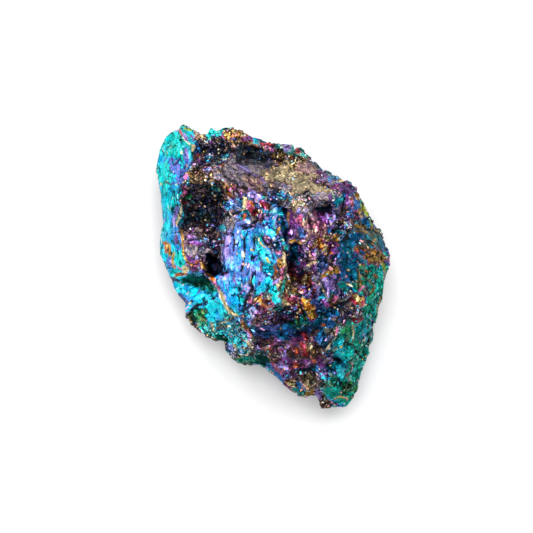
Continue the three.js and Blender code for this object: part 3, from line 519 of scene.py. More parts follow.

# Thin marks lie over the patches: worn edges and small bright bits of tarnish, some of them painted glints.
# Each row is a film, a radius, a light and the paths that have them.
MARK_ROWS = [
    ("cream", 0.12, 1.1, [-14.5, 21.2, -14, 20.4, -13.3, 19.7], [-6.5, -12.4, -5.4, -13.7],
        [-6, 9.4, -5, 9, -4.4, 9.4]),
    ("cream", 0.12, 0.9, [-8.8, -9.3, -7.4, -8.7, -6.6, -8.5], [-8.9, -9.8, -7.8, -9.5, -7, -9.6],
        [7.8, -3, 8.3, -4.2, 8.9, -5.4], [12.9, -9.4, 13, -10.4, 12.9, -11.6],
        [9.9, -10.4, 10.2, -11.2, 9.6, -12, 8.8, -12.9], [8.9, -13, 8.3, -13.5]),
    ("cream", 0.2, 1.1, [-12.8, 19.4, -12.8, 18.6], [-14.4, 10.3, -14.8, 9, -15.1, 7.6, -15.3, 6.6],
        [-7.4, -6.5, -6.4, -7.4, -5.7, -8], [1.4, -2.4, 0.8, -3.4], [5.6, 0.3, 6.6, 0.8]),
    ("cream", 0.2, 0.9, [-9.8, -8.9, -9.5, -10.4], [-4.1, -12, -3.6, -13], [10.4, 13.9, 11.4, 13.8]),
    ("cream", 0.3, 1.1, [-4.7, 11, -4.6, 9.8], [-8.5, -4, -7.9, -5.4, -7.4, -6.4]),
    ("cream", 0.3, 0.9, [1.9, 2.2, 1.7, 1.4, 2.1, 0.4]),
    ("cream", 0.4, 0.9, [-14.2, -0.2, -14, -0.8], [1.8, -5.4, 2.4, -6]),
    ("gold", 0.12, 0.9, [-2.6, 11, -2.7, 10.2], [13.6, -0.4, 14, -1.2, 14.1, -3],
        [9.9, -21.1, 11, -20.8, 12, -21.1]),
    ("gold", 0.12, 0.5, [-13.5, -7.9, -13, -8.9], [16.8, 1.4, 17.6, 0.8, 16.8, 0.4],
        [13.5, 1, 14, 0.4, 14.8, 0.2], [18.2, -0.8, 17.7, -1.8], [17.3, -4.6, 16.8, -6.8]),
    ("gold", 0.12, 0.3, [12.8, 5.6, 14.4, 5.9, 15.8, 5], [13.2, 3.4, 15, 3.2, 16.8, 2.4],
        [14, -1.2, 15.4, -2, 16.4, -3], [16.3, -3.4, 16, -4.2, 15.4, -4.6]),
    ("gold", 0.2, 1.1, [-14.6, 6, -14.4, 4, -14.2, 2, -13.7, 0.9, -13.1, 0.4]),
    ("gold", 0.2, 0.9, [-15.8, 2.2, -16.1, 1, -15.9, 0], [2.4, 8.6, 2.5, 6.6], [14.3, 8.1, 14.3, 8]),
    ("gold", 0.2, 0.7, [-10.6, -1, -9.9, -1.4]),
    ("gold", 0.2, 0.5, [16.1, 3.6, 16.5, 4.4]),
    ("gold", 0.2, 0.3, [15.8, 6.4, 16.6, 5.8]),
    ("gold", 0.3, 1.1, [-13.5, 15, -13.1, 14.6], [2.9, 4.1, 3.5, 4.3]),
    ("gold", 0.3, 0.9, [0.9, 1.2, 1.4, 0.2]),
    ("gold", 0.3, 0.5, [-16.7, 3.4, -16.5, 2], [0.6, 5.4, 1, 6.2], [4, 4.2, 4.5, 3.8], [3.2, -4, 4.4, -4.2],
        [13.4, 11.6, 13.6, 11]),
    ("gold", 0.3, 0.3, [13.4, 6.6, 14.6, 6.3]),
    ("gold", 0.4, 0.9, [-11.4, 0.1, -10.7, -0.1]),
    ("gold", 0.4, 0.7, [9.8, 0, 10.4, -0.6]),
    ("gold", 0.4, 0.5, [10.2, 5.2, 10.4, 4.4], [8, -1.6, 9.4, -0.8], [13.9, 9, 13.7, 8.6],
        [5.6, -20.3, 6.4, -20.2]),
    ("orange", 0.12, 0.9, [12.6, 11, 12.9, 9.8]),
    ("orange", 0.12, 0.3, [13.6, 2.2, 15.2, 1.6, 16.2, 0.4]),
    ("orange", 0.2, 0.9, [-4.6, 8.4, -4.6, 7.6], [-3.9, -10.2, -3.6, -11.2], [3.4, -16, 4.2, -15.8],
        [6.7, -15.1, 6.8, -15.4]),
    ("orange", 0.2, 0.7, [-12.9, 0.3, -11.6, 1, -10.9, 0.2], [0.2, 0.2, 0.6, -0.8, 0.2, -1.4]),
    ("orange", 0.2, 0.5, [-5.1, -8.7, -4.3, -9.9], [15, -0.6, 15.2, -0.8]),
    ("orange", 0.2, 0.3, [16.2, -1.2, 16.8, -1.6], [7.8, -9.4, 8.3, -9.5]),
    ("orange", 0.3, 1.1, [-9.9, -1.8, -9.2, -2]),
    ("orange", 0.3, 0.9, [-3.7, 10.4, -3.4, 9.9]),
    ("orange", 0.3, 0.5, [-17.2, 3.8, -17, 2.6], [-15.4, -1.3, -14, -1.2]),
    ("orange", 0.4, 0.3, [-0.9, 9.9, -0.6, 9.4]),
    ("crimson", 0.12, 0.5, [13, -15.8, 12.4, -16.8, 11.8, -17.6]),
    ("crimson", 0.2, 1.1, [-14.9, 21.9, -14.5, 21.2]),
    ("crimson", 0.2, 0.9, [-14.5, 10.6, -14.1, 10.2, -13.5, 10.2], [14.5, -5.4, 14.4, -6]),
    ("crimson", 0.3, 0.9, [13, -5.4, 13.4, -5.8]),
    ("crimson", 0.4, 0.7, [-1.8, 19.9, -0.3, 19.6]),
    ("crimson", 0.4, 0.5, [3.9, 18.8, 4.3, 18.4], [-3.6, 9.2, -3.2, 8.4], [3.3, -15.2, 3.8, -15.4]),
    ("crimson", 0.4, 0.3, [13, -8.4, 14.2, -8.2]),
    ("pink", 0.12, 0.9, [-13, 0.05, -12, 0.1], [12.2, 11.2, 12.5, 10]),
    ("pink", 0.2, 1.1, [-9.2, -2.4, -8.6, -3.8]),
    ("pink", 0.2, 0.9, [14, -3.8, 14.6, -3.1], [10.4, -9.8, 10.2, -10.6]),
    ("pink", 0.3, 1.1, [-13.8, 14.7, -13.9, 14.3]),
    ("pink", 0.3, 0.9, [-3.9, -5.2, -3.6, -5.8], [-4.2, 10.6, -4, 9.6], [0.6, 2.4, 1.2, 2.4],
        [1.6, -0.2, 1.4, -1.8], [9.8, -5.4, 10.2, -4.8]),
    ("pink", 0.3, 0.5, [0.6, -16, 1.6, -16.8]),
    ("pink", 0.4, 1.1, [-14.1, 12.6, -13.9, 11.6]),
    ("pink", 0.4, 0.3, [6.6, 8.8, 7, 8.2]),
    ("purple", 0.12, 0.9, [9.3, 11.8, 9.1, 11.2, 9.3, 10.7]),
    ("purple", 0.2, 1.1, [11.9, 11.6, 11.9, 10.2]),
    ("purple", 0.2, 0.5, [-13.1, 21.1, -12.8, 20.8], [5.6, -8.6, 6.4, -8.7]),
    ("purple", 0.3, 0.9, [9, 9.7, 9.7, 9.8]),
    ("purple", 0.3, 0.5, [-15.5, 4.6, -15.3, 3.8]),
    ("purple", 0.3, 0.3, [-13.2, -0.4, -12, -0.2]),
    ("purple", 0.4, 0.9, [-13.4, 1.6, -12.8, 0.9]),
    ("purple", 0.4, 0.7, [1.8, -14.8, 2.9, -15.2]),
    ("purple", 0.4, 0.5, [4.4, 1.2, 4.9, 0.4], [13.2, 8.6, 13.4, 8.2], [4.4, -15.3, 6.2, -15.5]),
    ("purple", 0.4, 0.3, [7.4, 15, 8.4, 14.6], [6.4, 0.2, 6.6, -1.2]),
    ("lavender", 0.12, 0.9, [6.9, 0.6, 7, -0.6, 7.3, -1.8]),
    ("lavender", 0.12, 0.5, [-5.7, 16.6, -4.9, 16, -4, 15.4], [-3.8, 15.2, -2.2, 14.5, -1.2, 13.4]),
    ("lavender", 0.2, 1.1, [9.8, 9.4, 10, 8.4, 9.9, 7.6]),
    ("lavender", 0.2, 0.9, [8.6, 8.6, 9, 7.8, 9.4, 7.2]),
    ("lavender", 0.3, 0.9, [-15.4, 9.6, -15.8, 8, -15.7, 6.8], [-14.2, 21.2, -13.7, 20.6],
        [-12.1, 1.4, -11.6, 1.1], [0.2, -2.8, 0.9, -2.2], [-3.2, 11, -2.9, 10.4], [-4.3, -10.6, -3.9, -11.8]),
    ("lavender", 0.3, 0.7, [7.2, -3, 7.3, -4.2, 7.2, -5]),
    ("lavender", 0.4, 1.1, [-7, 5.4, -7.4, 3.6, -7.5, 2.2]),
    ("lavender", 0.4, 0.9, [1.2, -15.6, 2, -16]),
    ("lavender", 0.4, 0.7, [1.9, 19.2, 2.7, 19]),
    ("lavender", 0.4, 0.5, [6.9, -20, 7.4, -20.8]),
    ("periwinkle", 0.3, 0.5, [-6.3, 20.6, -5.6, 20.3]),
    ("periwinkle", 0.4, 0.3, [-9.4, 0.2, -9.1, 0], [-14.8, -4.6, -13.8, -5.6]),
    ("azure", 0.2, 0.9, [-11.7, 18.9, -11.5, 18.3]),
    ("azure", 0.2, 0.7, [2, 7.6, 2.4, 6.4], [7.1, -15.8, 7.3, -16.4]),
    ("azure", 0.3, 0.9, [11.4, 11.6, 11.5, 11.4]),
    ("azure", 0.3, 0.5, [-0.6, -15.6, 0.4, -16.8, 1.6, -18]),
    ("azure", 0.4, 0.9, [-0.1, 8, -0.4, 6.6]),
    ("azure", 0.4, 0.7, [2, -10, 2.2, -10.6]),
    ("azure", 0.4, 0.5, [-0.4, 9.8, 0.4, 9.2], [4.2, -18.8, 4.8, -19.4]),
    ("azure", 0.4, 0.3, [-5.4, 10.4, -5.2, 9.6]),
    ("cyan", 0.12, 1.1, [12.9, -11.2, 12.7, -11.8]),
    ("cyan", 0.12, 0.9, [13, -16.4, 12.4, -17]),
    ("cyan", 0.2, 1.1, [-13.5, 13.6, -13.4, 12.8], [0.2, 7.4, 0.2, 5.2], [0.7, 11.8, 1.4, 11],
        [9.9, -11.6, 9.7, -12.1]),
    ("cyan", 0.2, 0.9, [-8, 20.2, -7.8, 19.9]),
    ("cyan", 0.2, 0.7, [-0.6, -16.4, 0.2, -17]),
    ("cyan", 0.3, 1.1, [-13.5, 19, -13.2, 17.2], [8.2, -17.6, 8.5, -17.9]),
    ("cyan", 0.3, 0.9, [-8, 6.5, -7.8, 5.9], [-0.6, 9, 0.6, 8.6], [1.4, 4.6, 1.7, 3.8]),
    ("cyan", 0.4, 0.9, [-2.8, 20.2, -2.2, 19.8]),
    ("turquoise", 0.12, 0.9, [8.6, -20.4, 8.4, -21.2]),
    ("turquoise", 0.2, 0.9, [-9.6, 12.6, -8.6, 12.3]),
    ("turquoise", 0.2, 0.7, [2.2, -1.2, 1.8, -3, 1.3, -4.4]),
    ("turquoise", 0.3, 1.1, [4.5, 18.1, 5.2, 17.7]),
    ("turquoise", 0.3, 0.9, [-10.4, 20.4, -9.8, 20.7], [0.6, 19.3, 1.3, 19.2], [18, 2.2, 18.3, 1.8]),
    ("turquoise", 0.3, 0.5, [3.4, -19.6, 5.2, -20.2]),
    ("turquoise", 0.4, 0.7, [14.8, -15.2, 14.4, -15.6]),
    ("turquoise", 0.4, 0.5, [2.3, 3.2, 2.2, 2.8]),
    ("teal", 0.2, 0.5, [-13.3, 10.4, -12.7, 10.5], [8.6, 14.9, 9.8, 14.3]),
    ("teal", 0.2, 0.3, [-17.2, 13.6, -16.2, 13.1]),
    ("teal", 0.3, 0.7, [3.4, 19.3, 2.7, 18.5, 4, 18]),
    ("teal", 0.3, 0.5, [4.4, -8.9, 5.2, -9.2]),
    ("green", 0.3, 0.7, [-13.8, 11.1, -12.9, 11.1]),
    ("green", 0.4, 0.9, [11.4, -10.6, 12, -10]),
    ("green", 0.4, 0.7, [13.4, -19.4, 12.8, -19.8]),
    ("lime", 0.12, 0.5, [15.5, 7.6, 15.9, 6.6]),
    ("lime", 0.2, 0.9, [-14, 22.2, -13, 21.9]),
    ("lime", 0.3, 0.7, [14.2, 9.8, 14.7, 9, 15.1, 8.4], [17.9, 0.6, 18.1, -0.2]),
]
MARKS = [Mark(path, radius, film, light) for film, radius, light, *paths in MARK_ROWS for path in paths]

# Open cracks, and painted shadows under an overhang and a ledge, are black marks that are cut into the
# surface too. Each row is a radius and its paths.
CRACK_AND_SHADOW_FILM, CRACK_AND_SHADOW_LIGHT = "azure", 0.03
CRACK_AND_SHADOW_ROWS = [
    (0.12, [-15.5, 7.4, -15.6, 6.3], [-11.2, -6.4, -10.5, -5.9], [-10.1, -5.2, -9.2, -4.7],
        [-3, -5, -1.6, -4.2, -0.8, -3.6], [-2, 5, -1.2, 4, -0.4, 2.8, 0.2, 1.2],
        [-1, 5, -0.2, 3.6, 0.4, 2.6], [13.7, 0, 13.8, -2, 13.9, -3.6], [13.4, -13.6, 14, -14.2, 14.6, -14.8],
        [11.8, -12.2, 13, -12.6, 13.4, -13.4]),
    (0.2, [5, 11.9, 6, 12.4], [-13.2, 4.3, -11.9, 4.5], [-12.9, -6.8, -11.9, -6.2],
        [-11.7, -6.3, -10.7, -5.6], [-6.6, 8.4, -5.4, 8.9], [-6.3, 4.4, -6.4, 2.6],
        [-4.75, 4.6, -4.6, 2.2, -4.8, 0.4, -5.1, -0.6], [-3.2, 4.4, -3.1, 2.6],
        [-4.3, -6.9, -3.5, -5.9, -2.7, -5.1], [-3.4, -3.2, -3.6, -2, -3.2, -1.2], [-4.8, 6.2, -3.4, 6.6],
        # Of the paths below, the first two are painted shadows under an overhang and under the scalloped
        # ledge.
        [7, 9.35, 8.2, 9.4, 9.6, 9.2], [7, -7, 8.4, -6.9, 10, -6.7], [8.2, -14.6, 9.6, -13.8]),
    (0.3, [-4.9, -7.2, -4.5, -5.6, -3.8, -4.4, -3.4, -3.2], [8.6, 10, 9.2, 9.6],
        [2.6, -17, 4.4, -16.7, 6.4, -16.2]),
    # A painted shadow under the scalloped ledge
    (0.4, [10, -6.5, 11, -6, 12.8, -5.2]),
]
CRACKS_AND_SHADOWS = [Mark(path, radius, CRACK_AND_SHADOW_FILM, CRACK_AND_SHADOW_LIGHT) for radius, *paths in CRACK_AND_SHADOW_ROWS for path in paths]

PATCH_SHIFT = (0.24, -0.11)  # mm, from the stone's middle to the patches' origin
SEEN = (-0.3, -0.05)  # the Z of the surface's normal where no patch shows, and where they show fully
RAGGED = [(2.2, 0.6), (0.8, 0.35)]  # (size, reach) of the wander in the patches' outlines, mm
SOFT_EDGE = 0.14  # mm
SNAP_FROM, SNAP, SNAP_MOST = 0.45, 1.2, 0.9  # how far the outlines of wide patches follow whole flakes

# Outside the patches. The film and the bare ore are random there: (mean, reach, size in mm, salt).
ELSEWHERE = {"light": 0.5, "vary": 0.3, "fleck": 0.4, "crack": 0.5}
ELSEWHERE_NOISE = {"film": (0.58, 0.28, 7, 51), "bare": (0.35, 0.9, 5, 52)}


def distance_to_path(xy, path):
    """How far each xy is from the path."""
    points = np.array(path).reshape(-1, 2)
    best = np.full(len(xy), np.inf)
    for a, b in zip(points, points[1:]):
        along = np.clip((xy - a) @ (b - a) / ((b - a) @ (b - a)), 0, 1)
        best = np.minimum(best, np.linalg.norm(xy - a - along[:, None] * (b - a), axis=1))
    return best


def seen_from_above(points):
    """Where the points show in the patches' plane: higher ones are nearer the eye and spread out."""
    return points[:, :2] * (EYE_DISTANCE / (EYE_DISTANCE + RIM_HEIGHT - points[:, 2:])) + PATCH_SHIFT


class Painter:
    """Lays the patches on the vertices that can be seen from above."""

    def __init__(self, surface):
        p = surface.points
        self.xy = seen_from_above(p)
        self.seen = span(surface.blur(surface.normals(), BROAD)[:, 2], *SEEN)
        self.wander = sum(
            reach * np.stack([smooth_noise(p, size, salt), smooth_noise(p, size, salt + 1)], axis=1)
            for salt, (size, reach) in zip((31, 41), RAGGED)
        )

    def cover(self, shape, to_seed=0):
        """How much of each vertex a patch or a mark covers."""
        follow = np.clip((shape.radius - SNAP_FROM) * SNAP, 0, SNAP_MOST)
        xy = self.xy + self.wander * min(1, shape.radius) - follow * to_seed
        reach = distance_to_path(xy, shape.path)
        return self.seen * np.clip((shape.radius - reach) / SOFT_EDGE + 0.5, 0, 1)

    def form(self):
        """How rough the surface is, how its chips are stretched and where its cracks, and the painted shadows
        drawn like them, are cut open.
        """
        rough, angle, stretch = np.ones((3, len(self.xy)))
        for patch in PATCHES:
            cover = self.cover(patch)
            bladed = patch.blades is not None
            rough += cover * (patch.texture.rough - rough)
            stretch += cover * ((BLADE_STRETCH if bladed else 1) - stretch)
            if bladed:
                angle += cover * (math.radians(patch.blades) - angle)
        cut = np.max([self.cover(crack) for crack in CRACKS_AND_SHADOWS], axis=0)
        return rough, angle, stretch, cut

    def look(self, points, to_seed):
        """The patches' values at each vertex, and the marks' colour (ink) and cover (stroke)."""
        n = len(points)
        values = {name: np.full(n, value) for name, value in ELSEWHERE.items()}
        for name, (mean, reach, size, salt) in ELSEWHERE_NOISE.items():
            values[name] = np.clip(mean + reach * smooth_noise(points, size, salt), 0, 1)
        for patch in PATCHES:
            cover = self.cover(patch, to_seed)
            for name, value in patch.look().items():
                values[name] += cover * (value - values[name])
        stroke, ink = np.zeros(n), np.zeros((n, 3))
        for mark in MARKS + CRACKS_AND_SHADOWS:
            cover = self.cover(mark)
            colour = np.array(linear(FILM[mark.film][1])) * mark.light
            share = cover / np.maximum(cover + stroke, 1e-6)
            ink += share[:, None] * (colour - ink)
            stroke += cover * (1 - stroke)
        return {**values, "stroke": stroke, "ink": ink}


CHIP_HUE = 0.6  # how much the film differs from chip to chip, as a share of its patch's vary
HUE_SIZE, WEAR_SIZE = 1.6, 1.5  # mm, of the areas where a smooth film differs and where edges are worn
FLAKE_TONE, FACET_TONE, FLAKE_BARE = 0.4, 0.3, 0.3  # how much light and bare ore differ between them
CREASE, NICK, EDGE = (0.05, 0.33), (0.02, 0.09), (0.05, 0.11)  # mm deep or high, from slight to full
SHADE, CREASE_FLECK = 0.6, 0.4  # the share of light that painted shade in creases and nicks takes, and of flecks in creases


def tarnish(surface, facets, flakes, look, rough):
    """The arrays that the material reads, with painted shade in creases and nicks."""
    p = surface.points
    chipped = np.clip(1.4 * rough - 0.2, 0, 1)
    by_chip = chipped * (flakes.random(5) + facets.random(5) - 1)
    by_chip += (1 - chipped) * smooth_noise(p, HUE_SIZE, 53)
    tone = FLAKE_TONE * (flakes.random(6) - 0.5) + FACET_TONE * (facets.random(6) - 0.5)
    crease = span(-surface.relief(BROAD), *CREASE)
    nick = span(-surface.relief(FINE), *NICK)
    worn = span(surface.relief(FINE), *EDGE) * span(smooth_noise(p, WEAR_SIZE, 62), -0.1, 0.4)
    look = {**look, "rough": rough, "worn": worn * np.clip(look["light"], 0.2, 1) * np.clip(rough, 0, 1)}
    look["film"] += CHIP_HUE * look["vary"] * by_chip
    # Painted shade darkens creases and nicks; chips also differ in tone at random.
    look["light"] *= (1 + chipped * tone) * (1 - SHADE * crease) * (1 - SHADE * nick)
    look["bare"] += FLAKE_BARE * (flakes.random(7) - 0.5)
    look["fleck"] *= 1 - CREASE_FLECK * crease
    return look


# ---- The material ----

METALLIC, ROUGHNESS = 0.95, 0.36
METAL_LOST, ROUGHNESS_GAINED = 0.7, 0.3  # where the ore is dull
SPECULAR, EDGE_TINT = 0.2, (0.45, 0.55, 0.60, 1)  # the tint is for grazing angles
FLAKE, GRAIN = 0.95, 0.40  # mm across, the chips that are drawn by the material
FLAKE_HUE, GRAIN_HUE = 0.7, 0.5  # how much their film differs
FLAKE_LIGHT, GRAIN_LIGHT = 1.22, 1.16  # how bright they are on average
FLAKE_TILT, GRAIN_TILT = 0.3, 0.45  # how steep they are
SHOVE = 0.7  # mm, how ragged their outlines are
NOISES = {  # name: (scale per mm, detail)
    "shove": (1.1, 4.0),
    "fine": (3.0, 3.0),
    "bare": (1.2, 2.0),
    "grit": (4.0, 1.0),
    "gape": (0.8, 2.0),
    "vein": (1.7, 2.0),
    "wear": (0.8, 2.0),
}
BARE_GAIN, BARE_BY_FLAKE, BARE_EDGE = 1.5, 0.5, (-0.08, 0.16)  # where the dull ore shows
CRACK_BUMP, CRACK_COVER, SOOT = 0.05, 0.93, (0.002, 0.002, 0.003, 1)
CRACK_EDGE, NET_EDGE, SPECK_EDGE = (0.03, 0.08), (0.20, 0.08), (0.30, 0.45)  # as shares of a flake or grain
FISSURE_PLACES, RIDGE_PLACES = (0.46, 0.52), (0.54, 0.48)  # the levels of a noise where they begin
RIDGE_LIGHT, RIDGE_WEAR = 2.2, 0.25  # how much brighter than their flake ridges are as painted highlights, and how worn
# How bright the painted glints on specks are.
SPECK_LIGHT = 1.4
WEAR = 0.8  # how much of the film is gone on worn edges
FILM_LEFT = 0.2  # how much of the film still tints the dull ore

DULL_ORE = [
    (0.25, (0.25, 0.25, 0.27)),
    (0.42, (0.44, 0.42, 0.41)),
    (0.55, (0.60, 0.55, 0.45)),
    (0.80, (0.84, 0.77, 0.60)),
]
WORN_EDGES = [
    (0.35, (0.95, 0.84, 0.62)),
    (0.45, (0.90, 0.66, 0.26)),
    (0.55, (0.92, 0.52, 0.30)),
    (0.65, (0.92, 0.56, 0.72)),
]
# The colours of the specks' painted glints.
SPECKS = [
    (0.0, (0.98, 0.92, 0.78)),
    (0.3, (0.95, 0.76, 0.34)),
    (0.5, (0.95, 0.62, 0.72)),
    (0.7, (0.55, 0.60, 0.98)),
    (0.85, (0.15, 0.85, 0.95)),
    (1.0, (0.98, 0.97, 0.95)),
]


class Nodes:
    """Short names for building a node tree."""

    def __init__(self, tree):
        self.tree = tree

    def add(self, kind, inputs=(), **settings):
        node = self.tree.nodes.new("ShaderNode" + kind)
        for name, value in settings.items():
            setattr(node, name, value)
        for key, value in dict(inputs).items():
            if isinstance(value, bpy.types.NodeSocket):
                self.tree.links.new(value, node.inputs[key])
            elif value is not None:
                node.inputs[key].default_value = value
        return node

    def math(self, operation, a, b=None, c=None, clamp=False):
        return self.add("Math", {0: a, 1: b, 2: c}, operation=operation, use_clamp=clamp).outputs[0]

    def times(self, a, b, clamp=False):
        return self.math("MULTIPLY", a, b, clamp=clamp)

    def times_plus(self, a, b, c, clamp=False):
        return self.math("MULTIPLY_ADD", a, b, c, clamp)

    def centred(self, value):
        """A value from 0 to 1 moved to between -0.5 and 0.5."""
        return self.math("SUBTRACT", value, 0.5)

    def rest(self, value):
        """What is left to 1."""
        return self.math("SUBTRACT", 1.0, value)

    def channels(self, colour):
        return self.add("SeparateColor", {0: colour}).outputs

    def vector(self, operation, a, b=None, scale=None):
        inputs = {0: a, 1: b, "Scale": scale}
        outputs = self.add("VectorMath", inputs, operation=operation).outputs
        return outputs["Value" if operation == "DOT_PRODUCT" else "Vector"]

    def attribute(self, name, output="Fac"):
        return self.add("Attribute", attribute_name=name).outputs[output]

    def noise(self, vector, name):
        scale, detail = NOISES[name]
        return self.add("TexNoise", {"Vector": vector, "Scale": scale, "Detail": detail}).outputs

    def cells(self, vector, scale, feature="F1"):
        return self.add("TexVoronoi", {"Vector": vector, "Scale": scale}, feature=feature).outputs

    def ramp(self, fac, stops):
        node = self.add("ValToRGB", {"Fac": fac})
        elements = node.color_ramp.elements
        while len(elements) < len(stops):
            elements.new(1.0)
        for element, (place, colour) in zip(elements, stops):
            element.position = place
            element.color = (*linear(colour), 1)
        return node.outputs["Color"]

    def mix(self, fac, a, b):
        node = self.add("Mix", data_type="RGBA")
        for socket, value in zip((node.inputs["Factor"], node.inputs[6], node.inputs[7]), (fac, a, b)):
            if isinstance(value, bpy.types.NodeSocket):
                self.tree.links.new(value, socket)
            else:
                socket.default_value = value
        return node.outputs[2]

    def line(self, noise):
        """1 on thin wandering lines, 0 elsewhere."""
        return self.span(self.math("ABSOLUTE", self.centred(noise)), 0.08, 0.03)

    def span(self, value, low, high):
        """0 at low, 1 at high, clamped."""
        inputs = {"Value": value, "From Min": low, "From Max": high}
        return self.add("MapRange", inputs, clamp=True).outputs[0]


def tarnish_material():
    material = bpy.data.materials.new("tarnished_ore")
    material.use_nodes = True
    material.node_tree.nodes.clear()
    n = Nodes(material.node_tree)
    names = ("film", "vary", "light", "bare", "fleck", "crack", "worn", "rough", "stroke")
    part = {name: n.attribute(name) for name in names}

    place = n.vector("SCALE", n.add("TexCoord").outputs["Object"], scale=1 / MM)  # in millimetres
    shove = n.vector("SUBTRACT", n.noise(place, "shove")["Color"], (0.5, 0.5, 0.5))
    ragged = n.vector("ADD", n.attribute("blade_place", "Vector"), n.vector("SCALE", shove, scale=SHOVE))
    flake = n.cells(ragged, 1 / FLAKE)
    grain = n.cells(ragged, 1 / GRAIN)
    flake_rgb = n.channels(flake["Color"])
    grain_rgb = n.channels(grain["Color"])
    fine = n.noise(place, "fine")["Fac"]

    # The tarnish's colour.
    wobble = n.times_plus(n.centred(flake_rgb[0]), FLAKE_HUE, n.centred(fine))
    wobble = n.times_plus(n.centred(grain_rgb[0]), GRAIN_HUE, wobble)
    film = n.times_plus(wobble, part["vary"], part["film"])
    colour = n.ramp(film, list(FILM.values()))

    # Dull ore where the film is rubbed off.
    dull = n.ramp(n.times_plus(n.centred(grain_rgb[2]), 0.4, fine), DULL_ORE)
    rubbed = n.times_plus(n.centred(flake_rgb[2]), BARE_BY_FLAKE, n.times(part["bare"], BARE_GAIN))
    rubbed = n.span(n.math("SUBTRACT", rubbed, n.noise(place, "bare")["Fac"]), *BARE_EDGE)
    colour = n.mix(n.times(rubbed, 1 - FILM_LEFT), colour, dull)

    # How much light each chip returns: its random tone, times the painted light and shade of its patch.
    spread = n.times_plus(part["rough"], 1.1, 0.1)
    grain_tone = n.times_plus(n.centred(grain_rgb[1]), spread, GRAIN_LIGHT)
    flake_tone = n.times_plus(n.centred(flake_rgb[1]), spread, FLAKE_LIGHT)
    grit = n.centred(n.noise(place, "grit")["Fac"])
    grit = n.times_plus(grit, n.times_plus(part["rough"], 4.0, 1.0), 1.0)
    tone = n.times(n.times(grain_tone, flake_tone), n.math("MAXIMUM", grit, 0.2))
    colour = n.vector("SCALE", colour, scale=n.times(tone, part["light"]))

    # Thin marks, some of them painted glints, with the painted light and shade of their row.
    ink = n.vector("SCALE", n.attribute("ink", "Vector"), scale=n.times_plus(grain_tone, 0.5, 0.5))
    colour = n.mix(part["stroke"], colour, ink)

    # The cracks between flakes, some of them wide, some closed.
    closed = n.times_plus(part["crack"], 0.22, -0.44)
    gape = n.times_plus(n.noise(place, "gape")["Fac"], 0.6, closed)
    border = n.math("SUBTRACT", n.cells(ragged, 1 / FLAKE, "DISTANCE_TO_EDGE")["Distance"], gape)
    crack = n.rest(n.span(border, *CRACK_EDGE))

    # Fine fissures and fine ridges, which carry painted highlights, wander over the flakes and run round the
    # grains.
    net = n.span(n.cells(ragged, 1 / GRAIN, "DISTANCE_TO_EDGE")["Distance"], *NET_EDGE)
    net = n.times(net, n.times(part["rough"], 1.2, clamp=True))
    vein = n.channels(n.noise(ragged, "vein")["Color"])
    fissure = n.times(n.math("MAXIMUM", n.line(vein[0]), net), n.span(vein[2], *FISSURE_PLACES))
    fissure = n.times(fissure, n.times(part["crack"], 1.2, clamp=True))
    crack = n.math("MAXIMUM", crack, fissure)
    ridge = n.times(n.math("MAXIMUM", n.line(vein[1]), net), n.span(vein[2], *RIDGE_PLACES))
    ridge = n.times(ridge, n.times(part["fleck"], 1.2, clamp=True))
    ridge = n.times(ridge, n.times(part["light"], 0.8, clamp=True))

    # Ridges carry a painted highlight, partly in worn colours, and worn edges, where the film is thin, are
    # cream, gold and pink.
    worn_colour = n.ramp(n.channels(n.noise(place, "wear")["Color"])[1], WORN_EDGES)
    lit = n.mix(RIDGE_WEAR, n.vector("SCALE", colour, scale=RIDGE_LIGHT), worn_colour)
    colour = n.mix(ridge, colour, lit)
    colour = n.mix(n.times(part["worn"], WEAR), colour, worn_colour)
    colour = n.mix(n.times(crack, CRACK_COVER), colour, SOOT)

    # Bright specks: painted glints in cream, gold, pink, blue, cyan and white.
    speck = n.span(n.times_plus(part["fleck"], 0.3, grain_rgb[2]), 1.0, 1.02)
    speck = n.times(speck, n.rest(n.span(grain["Distance"], *SPECK_EDGE)))
    glint = n.vector("SCALE", n.ramp(grain_rgb[0], SPECKS), scale=SPECK_LIGHT)
    colour = n.mix(speck, colour, glint)

    # Each flake and each grain is a facet with its own tilt.
    height = n.times(crack, -CRACK_BUMP)
    for cells, steepness in ((flake, FLAKE_TILT), (grain, GRAIN_TILT)):
        tilt = n.vector("SUBTRACT", cells["Color"], (0.5, 0.5, 0.5))
        facet = n.vector("DOT_PRODUCT", n.vector("SUBTRACT", ragged, cells["Position"]), tilt)
        height = n.times_plus(facet, n.times(part["rough"], steepness), height)
    bump = n.add("Bump", {"Strength": 1.0, "Distance": MM, "Height": height}).outputs[0]

    dulled = n.math("MAXIMUM", rubbed, part["stroke"])
    inputs = {
        "Base Color": colour,
        "Metallic": n.times_plus(dulled, -METALLIC * METAL_LOST, METALLIC, clamp=True),
        "Roughness": n.times_plus(rubbed, ROUGHNESS_GAINED, ROUGHNESS, clamp=True),
        "Normal": bump,
        "Specular IOR Level": SPECULAR,
        "Specular Tint": EDGE_TINT,
    }
    shader = n.add("BsdfPrincipled", inputs)
    n.tree.links.new(shader.outputs[0], n.add("OutputMaterial").inputs["Surface"])
    return material


# ---- The stone ----


def add_attributes(mesh, values):
    """Stores each array on the mesh's vertices under its name."""
    for name, array in values.items():
        kind, key = ("FLOAT", "value") if array.ndim == 1 else ("FLOAT_VECTOR", "vector")
        attribute = mesh.attributes.new(name, kind, "POINT")
        attribute.data.foreach_set(key, np.asarray(array, np.float32).ravel())


